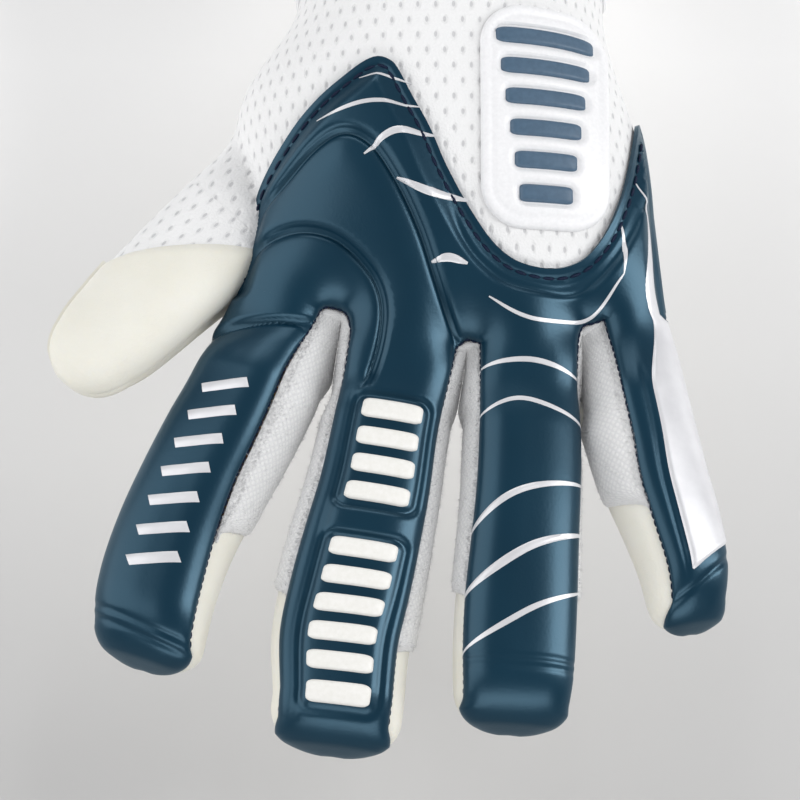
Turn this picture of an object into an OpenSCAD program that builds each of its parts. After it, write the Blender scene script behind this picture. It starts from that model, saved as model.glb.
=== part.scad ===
// Left-hand goalkeeper glove, lying palm down with its fingers spread.
// Fingers point along -Y, the wrist along +Y, the thumb to -X, and the back of the hand faces +Z.
// The origin is on the palm's flat underside, at the middle of the palm. Sizes are in millimetres.

/* [Hand] */
// Width of the hand across the knuckles
knuckle_w = 98; // [90:1:110]
// Height of the mesh over the knuckles
knuckle_h = 30; // [26:1:36]
// Distance from the origin to the knuckles
knuckle_at = 12; // [8:1:18]
// Distance from the origin to the front edge of the mesh, at the finger roots
root_at = 42; // [39:0.5:44]
// Width of the hand at the wrist
wrist_w = 70; // [62:1:80]
// Height of the mesh at the wrist
wrist_h = 38; // [34:1:44]
// Distance from the origin to the wrist
wrist_at = 44; // [36:1:60]
// Sideways place of the wrist's middle
wrist_x = 4; // [0:1:8]
// Sideways place of the knuckles' middle
knuckle_x = 2; // [0:1:6]

/* [Fingers] */
// Thickness of a stuffed finger
finger_h = 24; // [21:0.5:28]
// Width of the index finger
index_w = 24.5; // [20:0.5:26]
// Width of the middle finger
middle_w = 25.5; // [20:0.5:26]
// Width of the ring finger
ring_w = 24.5; // [20:0.5:26]
// Width of the little finger
little_w = 21; // [17:0.5:22]
// Width of the thumb
thumb_w = 25; // [20:0.5:28]
// Length of the index finger from its root line to its tip
index_len = 87; // [72:1:105]
// Length of the middle finger
middle_len = 94; // [78:1:113]
// Length of the ring finger
ring_len = 88; // [73:1:106]
// Length of the little finger
little_len = 73; // [60:1:88]
// Length of the thumb from inside the hand to its tip
thumb_len = 64; // [56:1:76]
// Spread of the index finger, to the thumb side
index_spread = 20.5; // [16:0.5:24]
// Spread of the middle finger
middle_spread = 8.5; // [7:0.5:10]
// Spread of the ring finger
ring_spread = 2; // [0:0.5:4]
// Spread of the little finger
little_spread = -13; // [-18:0.5:-10]
// Spread of the thumb
thumb_spread = 43; // [38:0.5:50]
// Rounding of a finger's long edges
finger_r = 7; // [4:0.5:9]
// Rounding of a fingertip, seen from above
tip_r = 9; // [5:0.5:10]
// Rounding of a fingertip, seen from the side
nose_r = 8; // [4:0.5:10]
// Length of the back pad that folds down over a fingertip
tip_cap = 7; // [4:0.5:12]
// Length of a finger's back pad that runs in over the hand
root_lap = 6; // [4:0.5:9]

/* [Layers] */
// Thickness of the latex and its foam backing across the palm
palm_t = 7; // [5:0.5:9]
// Thickness of the latex and its foam backing on a finger
latex_t = 6.5; // [4:0.5:8]
// Thickness of the embossed foam on the back
pad_t = 5.5; // [4:0.5:7]
// Thickness of the towelling side strips
gusset_t = 1.4; // [0.8:0.1:2.5]
// Thickness of the air mesh
mesh_t = 2; // [1:0.1:3]
// Thickness of the jersey lining
lining_t = 0.8; // [0.5:0.1:1.5]
// Gap left between two sewn pieces
seam = 0.25; // [0.1:0.05:0.4]

/* [Flex] */
// Distance from a finger's root line to its root crease
root_flex_at = 11; // [9:0.5:14]
// Place of the middle crease, as a share of the finger's length
mid_flex_share = 0.48; // [0.44:0.01:0.54]
// Distance from the thumb's root to its crease
thumb_flex_at = 27; // [26:0.5:32]
// Height of the flex axes over the surface that the glove lies on
hinge_h = 10; // [8:0.5:13]
// Largest bend at a crease
bend_deg = 60; // [40:1:70]
// Largest bend backwards at a crease
extend_deg = 10; // [0:1:15]
// Half of the gap on the flex axis
flex_gap = 0.6; // [0.4:0.1:1]

/* [Back panel] */
// Distance from the origin to the panel's peak, towards the wrist
peak_at = 15; // [10:1:20]
// Distance from the finger roots back to the bottom of the panel's notch
notch_back = 9; // [7:0.5:14]
// Width of the welded vent plate
vent_w = 29; // [22:1:32]
// Length of the welded vent plate
vent_len = 52; // [36:1:54]
// Distance from the notch to the vent plate
vent_gap = 11; // [9:0.5:16]
// Thickness of the vent plate
vent_t = 1.6; // [1:0.1:2.5]
// Number of vent bars
vent_bars = 6; // [3:1:8]
// Width of one vent bar along the hand
bar_w = 4; // [2.5:0.25:4.5]
// Number of punch ribs on the middle finger beyond its middle crease
tip_ribs = 6; // [3:1:7]
// Number of punch ribs between the middle finger's creases
base_ribs = 4; // [1:1:4]
// Width of a punch rib along the finger
rib_w = 4; // [2.5:0.25:4.5]
// Length of a punch rib across the finger
rib_len = 12; // [8:0.5:14]
// Height of ribs and of the silver flash over the pad
trim_t = 1; // [0.6:0.1:1.5]
// Width of the silver flash on the little finger
flash_w = 8; // [5:0.5:9]

/* [Cuff] */
// Length of the elastic cuff
cuff_len = 68; // [50:1:80]
// Height of the elastic cuff
cuff_h = 36; // [32:0.5:40]
// Rounding of the cuff's section
cuff_r = 16; // [10:0.5:17]
// Thickness of the cuff
cuff_t = 2.6; // [1.6:0.1:3.5]
// Width of the wrist strap
strap_w = 36; // [26:1:44]
// Thickness of the wrist strap
strap_t = 2.2; // [1.5:0.1:3]
// Distance from the wrist to the strap
strap_from = 12; // [6:1:18]
// Length of the strap's flap
flap_len = 30; // [22:1:32]
// Thickness of a hook or loop patch
patch_t = 1; // [0.6:0.1:1.6]
// Length of the rubber pull at the flap's end
pull_len = 8; // [5:0.5:12]
// Width of the rolled binding at the opening
binding_w = 4; // [3:0.5:6]

/* [Hidden] */
node = "all";
NAVY = [0.11, 0.25, 0.34];
LATEX = [0.93, 0.91, 0.84];
TOWEL = [0.88, 0.88, 0.88];
MESH = [0.94, 0.94, 0.94];
SILVER = [0.76, 0.78, 0.80];
REACH = 300;
arc_steps = 5;

// A finger is its name, root point, spread, length and width
function across_hand(share) = knuckle_x + share * knuckle_w;
index_root = [across_hand(-0.362), -root_at + 6.5];
middle_root = [across_hand(-0.097), -root_at - 3];
ring_root = [across_hand(0.189), -root_at - 4];
little_root = [across_hand(0.434), -root_at + 4];
thumb_root = [across_hand(-0.418), -2.3];
FINGERS = [
  ["index", index_root, index_spread, index_len, index_w],
  ["middle", middle_root, middle_spread, middle_len, middle_w],
  ["ring", ring_root, ring_spread, ring_len, ring_w],
  ["little", little_root, little_spread, little_len, little_w]
];
MIDDLE = FINGERS[1];
LITTLE = FINGERS[3];
THUMB = ["thumb", thumb_root, thumb_spread, thumb_len, thumb_w];

FINGER_PIECES = ["pad_base", "pad_tip", "latex_base", "latex_tip", "gussets_base", "gussets_tip",
                 "crease_root", "crease_mid"];
NODES = concat(
  [for (f = FINGERS) for (piece = FINGER_PIECES) str(f[0], "_", piece)],
  ["middle_ribs_base", "middle_ribs_tip", "little_flash_base", "little_flash_tip"],
  ["thumb_web", "thumb_wrap", "thumb_palm", "thumb_crease"],
  ["palm_latex", "palm_lining", "mesh_body", "back_lining", "backhand_panel", "crotch_gussets"],
  ["vent_plate", "vent_inlay", "cuff", "cuff_binding", "wrist_strap", "loop_patch"],
  ["strap_flap", "hook_patch", "flap_pull"]
);

// Heights in a finger's own frame, whose Z starts at half of its thickness
floor_z = -finger_h / 2;
latex_top = floor_z + latex_t;
pad_bottom = finger_h / 2 - pad_t;
hinge_z = floor_z + hinge_h;
below_hinge = hinge_h + 1;
above_hinge = finger_h - hinge_h + 1;

function mid_flex_at(f) = f[3] * mid_flex_share;
function across(f) = [cos(f[2]), -sin(f[2])];
function root_corner(f, side) = f[1] + across(f) * side * f[4] / 2;

// Sections and outlines
function rounded_rect(w, h, r) = [
  for (c = [[1, 1, 0], [-1, 1, 90], [-1, -1, 180], [1, -1, 270]]) for (i = [0:arc_steps])
    let (a = c[2] + 90 * i / arc_steps)
      [c[0] * (w / 2 - r) + r * cos(a), c[1] * (h / 2 - r) + r * sin(a)]
];
function reversed(list) = [for (i = [len(list) - 1:-1:0]) list[i]];

// Edge of a rigid stretch at a crease, from the floor up, with room for the bend on both sides of the axis
function flex_edge(at, side) = [
  [-at - side * (flex_gap + below_hinge * tan(bend_deg / 2)), hinge_z - below_hinge],
  [-at - side * flex_gap, hinge_z],
  [-at - side * (flex_gap + above_hinge * tan(extend_deg / 2)), hinge_z + above_hinge]
];
function plain_edge(at) = [[-at, hinge_z - below_hinge], [-at, hinge_z + above_hinge]];
function stub_zone(at, from = 0) = concat(plain_edge(from), reversed(flex_edge(at, -1)));
function base_zone(f) = concat(flex_edge(root_flex_at, 1), reversed(flex_edge(mid_flex_at(f), -1)));
function tip_zone(f, at) = concat(flex_edge(at, 1), reversed(plain_edge(f[3] + 1)));

module on_finger(f) {
  translate([f[1][0], f[1][1], finger_h / 2]) rotate([0, 0, -f[2]]) children();
}

// A prism along X from an outline in Y and Z
module side_prism(points) {
  rotate([90, 0, 90]) linear_extrude(REACH, center = true) polygon(points);
}

module layer(low, high) {
  translate([-REACH / 2, -REACH, low]) cube([REACH, 2 * REACH, high - low]);
}

module finger_blank(f) {
  intersection() {
    translate([0, root_lap, 0]) rotate([90, 0, 0]) linear_extrude(f[3] + root_lap)
      polygon(rounded_rect(f[4], finger_h, finger_r));
    linear_extrude(REACH, center = true) polygon(rounded_rect(f[4], 2 * f[3], tip_r));
    side_prism(rounded_rect(2 * f[3], finger_h, nose_r));
  }
}

// The hollow for the finger itself, between the latex, the pad and the side strips
module stall(f, from = 0) {
  inside = f[4] - 2 * gusset_t;
  translate([-inside / 2, -f[3] + tip_cap, latex_top])
    cube([inside, f[3] - tip_cap + from, pad_bottom - latex_top]);
}

module cap_zone(f) {
  translate([-REACH / 2, -f[3] - 1, latex_top + seam])
    cube([REACH, tip_cap + 1, finger_h - latex_t]);
}

module latex_part(f, zone) {
  color(LATEX) on_finger(f) intersection() {
    finger_blank(f);
    side_prism(zone);
    layer(floor_z - 1, latex_top);
  }
}

module pad_part(f, zone, with_cap = false) {
  color(NAVY) on_finger(f) intersection() {
    finger_blank(f);
    side_prism(zone);
    union() {
      layer(pad_bottom, pad_bottom + finger_h);
      if (with_cap) cap_zone(f);
    }
  }
}

module gusset_part(f, zone) {
  color(TOWEL) on_finger(f) difference() {
    intersection() {
      finger_blank(f);
      side_prism(zone);
      layer(latex_top + seam, pad_bottom - seam);
      translate([-REACH / 2, -f[3] + tip_cap + seam, floor_z]) cube([REACH, f[3], finger_h]);
    }
    stall(f, REACH);
  }
}

// The soft fold that fills the room under a flex axis while the finger is straight
module crease_part(f, at) {
  half_top = flex_gap - seam;
  half_low = half_top + below_hinge * tan(bend_deg / 2);
  wedge = [[-at - half_low, hinge_z - below_hinge], [-at + half_low, hinge_z - below_hinge],
           [-at + half_top, hinge_z], [-at - half_top, hinge_z]];
  color(LATEX) on_finger(f) difference() {
    intersection() {
      finger_blank(f);
      side_prism(wedge);
      layer(floor_z + seam, hinge_z);
    }
    stall(f, REACH);
  }
}

// Back of the hand: a hull over three sections, grown outwards for what lies on the mesh
module hand_hull(grow = 0, past = 0) {
  stations = [
    [-root_at - past, knuckle_x, knuckle_w, finger_h - pad_t - seam],
    [-knuckle_at, knuckle_x, knuckle_w, knuckle_h],
    [wrist_at + past, wrist_x, wrist_w, wrist_h]
  ];
  hull() for (s = stations)
    translate([s[1], s[0], (s[3] + grow) / 2]) rotate([90, 0, 0]) linear_extrude(0.01)
      polygon(rounded_rect(s[2] + 2 * grow, s[3] + grow, finger_h / 2 - pad_t + 1));
}

module hand_plan() {
  polygon(concat(
    [for (f = FINGERS) for (side = [-1, 1]) root_corner(f, side)],
    [[knuckle_x + knuckle_w / 2, -knuckle_at], [wrist_x + wrist_w / 2, wrist_at],
     [wrist_x - wrist_w / 2, wrist_at], [knuckle_x - knuckle_w / 2, -knuckle_at]]
  ));
}

// Everything of the hand behind the finger roots, seen from above
module hand_area() {
  polygon(concat(
    [for (f = FINGERS) for (side = [-1, 1]) root_corner(f, side)],
    [[REACH, 0], [REACH, REACH], [-REACH, REACH], [-REACH, 0]]
  ));
}

// Outline of the blue panel behind the finger roots: a peak over the index side and a notch over the ring side
notch = [across_hand(0.245), -root_at + notch_back];
module panel_outline() {
  peak = [across_hand(-0.133), peak_at];
  side_top = [across_hand(0.449), -knuckle_at + 8];
  offset(r = 5) offset(r = -5) offset(r = -2) offset(r = 2) polygon(concat(
    [[-REACH, -REACH], root_corner(FINGERS[0], -1), [across_hand(-0.418), -knuckle_at - 5]],
    [peak + [-5, 0], peak, peak + [3, -6]],
    [notch + [-15, 6], notch + [-5, 0], notch + [6, 1], notch + [12, 7]],
    [side_top, [REACH, side_top[1]], [REACH, -REACH]]
  ));
}

module shell(outer, inner) {
  difference() {
    hand_hull(outer);
    hand_hull(inner, 1);
  }
}

// Cuts a finger's root back to where the mesh and the palm begin
module off_hand() {
  difference() {
    children();
    intersection() {
      hand_hull(seam);
      linear_extrude(REACH) hand_area();
    }
    linear_extrude(palm_t + seam) hand_area();
  }
}

module over_hand(area_low) {
  intersection() {
    children();
    linear_extrude(REACH) hand_area();
    layer(area_low, REACH);
  }
}

// Palm side
module palm_latex() {
  color(LATEX) linear_extrude(palm_t) hand_plan();
  for (f = FINGERS) latex_part(f, stub_zone(root_flex_at, -root_lap));
  latex_part(THUMB, stub_zone(thumb_flex_at));
}

module palm_lining() {
  color(MESH) translate([0, 0, palm_t]) linear_extrude(lining_t)
    offset(delta = -mesh_t - finger_r) hand_plan();
}

// Back of the hand
module mesh_body() {
  color(MESH) difference() {
    over_hand(palm_t + seam) shell(0, -mesh_t);
    on_finger(THUMB) stall(THUMB);
  }
}

module back_lining() {
  outer = -mesh_t - seam;
  color(MESH) difference() {
    over_hand(palm_t + lining_t + seam) shell(outer, outer - lining_t);
    on_finger(THUMB) stall(THUMB);
  }
}

module backhand_panel() {
  color(NAVY) {
    over_hand(finger_h - pad_t) intersection() {
      shell(pad_t + seam, seam);
      linear_extrude(REACH) panel_outline();
    }
    off_hand() for (f = FINGERS) pad_part(f, stub_zone(root_flex_at, -root_lap));
  }
}

module crotch_gussets() {
  color(TOWEL) off_hand() for (f = FINGERS) gusset_part(f, stub_zone(root_flex_at, -root_lap));
}

// Welded vent plate on the mesh, with inlaid bars that shorten towards the notch
vent_at = notch + [-1.5, vent_gap + vent_len / 2];
bar_pitch = (vent_len - 8) / vent_bars;

module vent_bar_shapes(grow = 0) {
  for (i = [0:vent_bars - 1])
    translate(vent_at + [0, (i - (vent_bars - 1) / 2) * bar_pitch])
      polygon(rounded_rect(vent_w * (0.42 + 0.07 * i) + 2 * grow, bar_w + 2 * grow, bar_w / 2 - 0.2));
}

module vent_plate() {
  color(MESH) over_hand(finger_h - pad_t) intersection() {
    shell(vent_t + seam, seam);
    linear_extrude(REACH) difference() {
      translate(vent_at) polygon(rounded_rect(vent_w, vent_len, vent_w / 3));
      vent_bar_shapes(seam);
    }
  }
}

module vent_inlay() {
  color(NAVY) over_hand(finger_h - pad_t) intersection() {
    shell(vent_t + trim_t, seam);
    linear_extrude(REACH) vent_bar_shapes();
  }
}

// Trim on the fingers
module ribs(count, first) {
  pitch = rib_w * 1.6;
  color(LATEX) on_finger(MIDDLE) for (i = [0:count - 1])
    translate([0, -first - (i + 0.5) * pitch, finger_h / 2]) linear_extrude(trim_t)
      polygon(rounded_rect(rib_len, rib_w, rib_w / 4));
}

module flash(from, to) {
  color(SILVER) on_finger(LITTLE) translate([LITTLE[4] / 2 - finger_r - flash_w / 4, -(from + to) / 2, finger_h / 2])
    linear_extrude(trim_t) polygon(rounded_rect(flash_w, to - from, 1));
}

trim_gap = flex_gap + above_hinge * tan(extend_deg / 2) + seam;

// Thumb: the mesh sleeve on the hand, and the latex that wraps the thumb beyond the crease
module thumb_web() {
  color(MESH) difference() {
    on_finger(THUMB) difference() {
      intersection() {
        finger_blank(THUMB);
        side_prism(stub_zone(thumb_flex_at));
        layer(latex_top + seam, finger_h);
      }
      stall(THUMB, 1);
    }
    hand_hull(seam);
  }
}

module thumb_wrap() {
  color(LATEX) on_finger(THUMB) difference() {
    intersection() {
      finger_blank(THUMB);
      side_prism(tip_zone(THUMB, thumb_flex_at));
      layer(latex_top + seam, finger_h);
    }
    stall(THUMB);
  }
}

// Cuff, strap and closure
cuff_z = strap_t + seam + cuff_h / 2;
cuff_top = cuff_z + cuff_h / 2;
strap_y = wrist_at + strap_from;
loop_z = cuff_top + seam + strap_t;
flap_z = loop_z + patch_t + seam + patch_t;
flap_right = wrist_x + wrist_w / 2 - cuff_r - 5;

module band(from, to, outer, inner) {
  translate([wrist_x, to, cuff_z]) rotate([90, 0, 0]) linear_extrude(to - from) difference() {
    polygon(rounded_rect(wrist_w + 2 * outer, cuff_h + 2 * outer, cuff_r + outer));
    polygon(rounded_rect(wrist_w + 2 * inner, cuff_h + 2 * inner, cuff_r + inner));
  }
}

module cuff() {
  color(MESH) band(wrist_at + seam, wrist_at + cuff_len, 0, -cuff_t);
}

module cuff_binding() {
  from = wrist_at + cuff_len + seam;
  color(NAVY) band(from, from + binding_w, strap_t / 2, -cuff_t - strap_t / 2);
}

// The strap goes once round the cuff, and its flap is sewn down at the block on top
module wrist_strap() {
  color(NAVY) {
    band(strap_y, strap_y + strap_w, seam + strap_t, seam);
    translate([flap_right + seam, strap_y, loop_z]) cube([5 - seam, strap_w, flap_z + strap_t - loop_z]);
  }
}

module flap_plate(from, length, low, high, inset, r) {
  translate([from - length / 2, strap_y + strap_w / 2, low]) linear_extrude(high - low)
    polygon(rounded_rect(length, strap_w - 2 * inset, r));
}

module loop_patch() {
  color(TOWEL) flap_plate(flap_right - 3, flap_len - 6, loop_z, loop_z + patch_t, 3, 2);
}

module hook_patch() {
  color(TOWEL) flap_plate(flap_right - 4, flap_len - 8, flap_z - patch_t, flap_z, 4, 2);
}

module strap_flap() {
  color(NAVY) flap_plate(flap_right, flap_len, flap_z, flap_z + strap_t, 0, 0.5);
}

module flap_pull() {
  color(SILVER) flap_plate(flap_right - flap_len, pull_len, flap_z - patch_t, flap_z + strap_t, 4, 2);
}

function shown(name) = node == "all" || node == name;

for (f = FINGERS) {
  if (shown(str(f[0], "_pad_base"))) pad_part(f, base_zone(f));
  if (shown(str(f[0], "_pad_tip"))) pad_part(f, tip_zone(f, mid_flex_at(f)), true);
  if (shown(str(f[0], "_latex_base"))) latex_part(f, base_zone(f));
  if (shown(str(f[0], "_latex_tip"))) latex_part(f, tip_zone(f, mid_flex_at(f)));
  if (shown(str(f[0], "_gussets_base"))) gusset_part(f, base_zone(f));
  if (shown(str(f[0], "_gussets_tip"))) gusset_part(f, tip_zone(f, mid_flex_at(f)));
  if (shown(str(f[0], "_crease_root"))) crease_part(f, root_flex_at);
  if (shown(str(f[0], "_crease_mid"))) crease_part(f, mid_flex_at(f));
}
if (shown("middle_ribs_base")) ribs(base_ribs, root_flex_at + 2 * trim_gap);
if (shown("middle_ribs_tip")) ribs(tip_ribs, mid_flex_at(MIDDLE) + trim_gap);
if (shown("little_flash_base")) flash(root_flex_at + trim_gap, mid_flex_at(LITTLE) - trim_gap);
if (shown("little_flash_tip")) flash(mid_flex_at(LITTLE) + trim_gap, little_len - nose_r);
if (shown("thumb_web")) thumb_web();
if (shown("thumb_wrap")) thumb_wrap();
if (shown("thumb_palm")) latex_part(THUMB, tip_zone(THUMB, thumb_flex_at));
if (shown("thumb_crease")) crease_part(THUMB, thumb_flex_at);
if (shown("palm_latex")) palm_latex();
if (shown("palm_lining")) palm_lining();
if (shown("mesh_body")) mesh_body();
if (shown("back_lining")) back_lining();
if (shown("backhand_panel")) backhand_panel();
if (shown("crotch_gussets")) crotch_gussets();
if (shown("vent_plate")) vent_plate();
if (shown("vent_inlay")) vent_inlay();
if (shown("cuff")) cuff();
if (shown("cuff_binding")) cuff_binding();
if (shown("wrist_strap")) wrist_strap();
if (shown("loop_patch")) loop_patch();
if (shown("strap_flap")) strap_flap();
if (shown("hook_patch")) hook_patch();
if (shown("flap_pull")) flap_pull();
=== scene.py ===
import bpy
import math
import numpy as np
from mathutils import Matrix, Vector
from mathutils.geometry import delaunay_2d_cdt


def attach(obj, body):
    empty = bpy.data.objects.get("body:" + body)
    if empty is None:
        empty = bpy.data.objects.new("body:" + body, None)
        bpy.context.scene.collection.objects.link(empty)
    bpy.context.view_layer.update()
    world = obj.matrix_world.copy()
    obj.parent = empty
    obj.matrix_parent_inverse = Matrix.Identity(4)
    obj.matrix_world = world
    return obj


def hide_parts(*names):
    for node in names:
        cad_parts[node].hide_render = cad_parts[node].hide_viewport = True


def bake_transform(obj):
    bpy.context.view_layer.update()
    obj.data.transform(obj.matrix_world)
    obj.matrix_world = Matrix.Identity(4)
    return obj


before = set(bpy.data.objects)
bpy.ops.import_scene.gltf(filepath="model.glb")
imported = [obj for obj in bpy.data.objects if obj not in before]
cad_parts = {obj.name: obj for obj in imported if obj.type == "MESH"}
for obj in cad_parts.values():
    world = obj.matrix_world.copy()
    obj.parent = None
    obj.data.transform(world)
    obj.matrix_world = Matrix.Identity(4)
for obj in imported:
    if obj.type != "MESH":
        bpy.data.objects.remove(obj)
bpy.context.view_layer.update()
bpy.ops.object.select_all(action="DESELECT")


# Palm: one sheet of natural latex glued to foam, cut as a hand without fingers and sewn to the
# mesh along its sides. Its edge rolls up where the stitching pulls it round the hand.
# Sizes are in millimetres, as in the part's source.
PALM_THICK = 7.0
PALM_ROLL = 5.0
# Each finger's root, angle and lengths, its width to each side at the root, where its two stretches
# meet, how its pad sits and where its towelling ends; then bow, half width and roll at each step.
FINGER_STEPS = (10, 22, 34, 46, 58, 70, 82)
MID_SHARE = 0.48
FINGERS = {
    "index": dict(root=(-33.48, -35.5), spread=20.5, length=87.0, end=86.8, reach=(11.8, 7.9), split=28.0,
                  turn=-0.052, pad=(0.302, 0.36), towel=(55.0, 57.0), steps=FINGER_STEPS,
                  bow=(0.4, 0.2, -1.2, -2.6, -3.4, -2.8, -0.8),
                  girth=(13.1, 12.8, 13.1, 12.9, 12.5, 12.3, 12.1),
                  roll=(-22.0, -19.0, -15.0, -11.5, -8.5, -8.0, -8.0)),
    "middle": dict(root=(-7.51, -45.0), spread=8.5, length=94.0, end=92.4, reach=(11.4, 12.0), split=28.0,
                   turn=0.015, pad=(0.306, 0.306), towel=(63.0, 73.0), steps=FINGER_STEPS,
                   bow=(-0.9, -1.3, -1.7, -2.6, -3.3, -3.4, -1.9),
                   girth=(13.2, 13.4, 14.0, 14.8, 15.3, 15.2, 14.4),
                   roll=(0.5, 0.7, 1.8, 1.4, -0.4, -5.0, -7.0)),
    "ring": dict(root=(20.52, -46.0), spread=2.0, length=88.0, end=85.4, reach=(10.4, 11.0), split=28.0,
                 turn=0.013, pad=(0.338, 0.338), towel=(60.0, 60.0), steps=FINGER_STEPS,
                 bow=(-0.8, -0.5, -0.5, -0.8, -1.1, -1.3, -1.2),
                 girth=(11.7, 12.1, 12.3, 12.7, 13.2, 13.2, 12.6),
                 roll=(9.0, 9.5, 9.0, 7.6, 6.5, 6.8, 7.0)),
    "little": dict(root=(44.53, -38.0), spread=-13.0, length=73.0, end=71.0, reach=(6.9, 7.0), split=22.5,
                   turn=0.03, pad=(0.285, 0.25), towel=(46.5, 50.0), steps=(8, 18, 28, 38, 48, 58, 68),
                   bow=(-5.4, -5.8, -5.7, -5.2, -4.0, -3.3, -4.0),
                   girth=(11.4, 11.4, 11.1, 10.6, 10.0, 9.4, 8.7),
                   roll=(38.0, 38.0, 35.0, 28.0, 22.0, 18.0, 16.0)),
}


def track(points, steps=10):
    p = np.array(points, float)
    p = np.vstack([2 * p[0] - p[1], p, 2 * p[-1] - p[-2]])
    out = []
    for i in range(1, len(p) - 2):
        t = np.linspace(0, 1, steps, endpoint=False)[:, None]
        a, b, c, d = p[i - 1:i + 3]
        out.append(0.5 * (2 * b + (c - a) * t + (2 * a - 5 * b + 4 * c - d) * t**2
                          + (3 * b - a - 3 * c + d) * t**3))
    return np.vstack(out + [p[-2:-1]])


def aim(limb):
    """Adds the directions along and across a finger or thumb."""
    turn = math.radians(limb["spread"])
    limb["along"] = np.array([-math.sin(turn), -math.cos(turn)])
    limb["across"] = np.array([math.cos(turn), -math.sin(turn)])


for name, finger in FINGERS.items():
    aim(finger)
    finger["name"] = name
    finger["root"] = np.array(finger["root"])
    finger["mid"] = MID_SHARE * finger["length"]
    finger["middle"] = (finger["reach"][1] - finger["reach"][0]) / 2
    finger["half"] = (finger["reach"][1] + finger["reach"][0]) / 2
    for row in ("bow", "girth", "roll"):
        finger[row] = track(list(zip(finger["steps"], finger[row])), 12)

HAND_Y = [-60, -48, -34, -26, -18, -12, -6, 1, 8, 13, 18, 23, 30, 36, 44, 56]
HAND_LEFT = [-43, -45, -45, -43.0, -42.0, -41.8, -42.2, -44.2, -45.9, -45.8, -44.2, -41.2, -36.0, -32.6,
             -31, -31]
HAND_RIGHT = [51, 51, 49.4, 49.2, 49.1, 48.9, 48.6, 47.8, 46.4, 45.0, 43.4, 42, 40, 39.2, 39, 39]
HAND_TOP = [18.5, 21.5, 25.5, 28.4, 31.2, 33.0, 34.3, 35.5, 36.1, 36.5, 36.7, 36.8, 37.0, 37.2, 37.5, 37.5]


def ramp(x, low, high):
    t = np.clip((x - low) / (high - low), 0, 1)
    return t * t * (3 - 2 * t)


FINE_Y = np.arange(-80, 80, 0.5)


def eased(values):
    line = np.interp(FINE_Y, HAND_Y, values)
    kernel = np.hanning(29)
    return np.convolve(np.pad(line, 14, mode="edge"), kernel / kernel.sum(), mode="valid")


LEFT_LINE, RIGHT_LINE, TOP_LINE = eased(HAND_LEFT), eased(HAND_RIGHT), eased(HAND_TOP)


def hand_side(y):
    return np.interp(y, FINE_Y, LEFT_LINE), np.interp(y, FINE_Y, RIGHT_LINE)


def plan(finger, s, a):
    s, a = np.asarray(s, float)[..., None], np.asarray(a, float)[..., None]
    return finger["root"] + finger["along"] * s + finger["across"] * a


def even(line, step):
    lengths = np.concatenate([[0], np.cumsum(np.linalg.norm(np.diff(line, axis=0), axis=1))])
    at = np.linspace(0, lengths[-1], max(2, int(round(lengths[-1] / step)) + 1))
    return np.stack([np.interp(at, lengths, line[:, i]) for i in range(line.shape[1])], axis=1)


def unit(v):
    return v / np.maximum(np.linalg.norm(v, axis=-1, keepdims=True), 1e-9)


def near(points, *lines):
    flat = np.asarray(points, float).reshape(-1, 2)
    best = np.full(len(flat), 1e9)
    for line in lines:
        for a, b in zip(line[:-1], line[1:]):
            ab = b - a
            t = np.clip((flat - a) @ ab / max(ab @ ab, 1e-12), 0, 1)
            best = np.minimum(best, np.hypot(*(flat - a - t[:, None] * ab).T))
    return best.reshape(np.shape(points)[:-1])


def inside(points, outline):
    x, y = points[:, 0], points[:, 1]
    odd = np.zeros(len(points), bool)
    for a, b in zip(outline, np.roll(outline, -1, axis=0)):
        if a[1] != b[1]:
            odd ^= ((a[1] > y) != (b[1] > y)) & (x < (b[0] - a[0]) * (y - a[1]) / (b[1] - a[1]) + a[0])
    return odd


def mesh_piece(name, points, faces):
    data = bpy.data.meshes.new(name)
    data.from_pydata((np.asarray(points) * 0.001).tolist(), [], faces)
    data.update()
    piece = bpy.data.objects.new(name, data)
    bpy.context.scene.collection.objects.link(piece)
    bpy.ops.object.select_all(action="DESELECT")
    piece.select_set(True)
    bpy.context.view_layer.objects.active = piece
    return piece


def plan_sheet(name, outline, edges, step, rows, lift):
    """Fills an outline with an even net of points, with finer rows along its sewn edges, and lifts it."""
    low, high = outline.min(axis=0), outline.max(axis=0)
    rim = np.vstack([outline, outline[:1]])
    xs = np.arange(low[0], high[0], step)
    ys = np.arange(low[1], high[1], step * 0.866)
    grid = np.array([(x + (j % 2) * step / 2, y) for j, y in enumerate(ys) for x in xs])
    grid = grid[inside(grid, outline)]
    grid = grid[(near(grid, *edges) > rows[-1] + step * 0.4) & (near(grid, rim) > step * 0.4)]
    extra = []
    for edge in edges:
        line = even(edge, step)
        way = unit(np.gradient(line, axis=0))
        sideways = np.stack([-way[:, 1], way[:, 0]], axis=1)
        extra += [line + side * row * sideways for row in rows for side in (-1, 1)]
    extra = np.vstack(extra)
    extra = extra[inside(extra, outline)]
    off_row = np.min(np.abs(near(extra, *edges)[:, None] - np.array(rows)), axis=1)
    extra = extra[(off_row < 0.02) & (near(extra, rim) > 0.09)]
    points = np.vstack([outline, grid, extra])
    count = len(outline)
    loop = [(i, (i + 1) % count) for i in range(count)]
    out = delaunay_2d_cdt([Vector(p) for p in points], loop, [], 1, 1e-4)
    return mesh_piece(name, lift(np.array([tuple(v) for v in out[0]])), [tuple(face) for face in out[2]])


def corner(name, side):
    return plan(FINGERS[name], 0, side * FINGERS[name]["reach"][max(side, 0)])


def crotch(a, b, *points):
    return track([corner(a, 1), *points, corner(b, -1)], 8)


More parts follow.
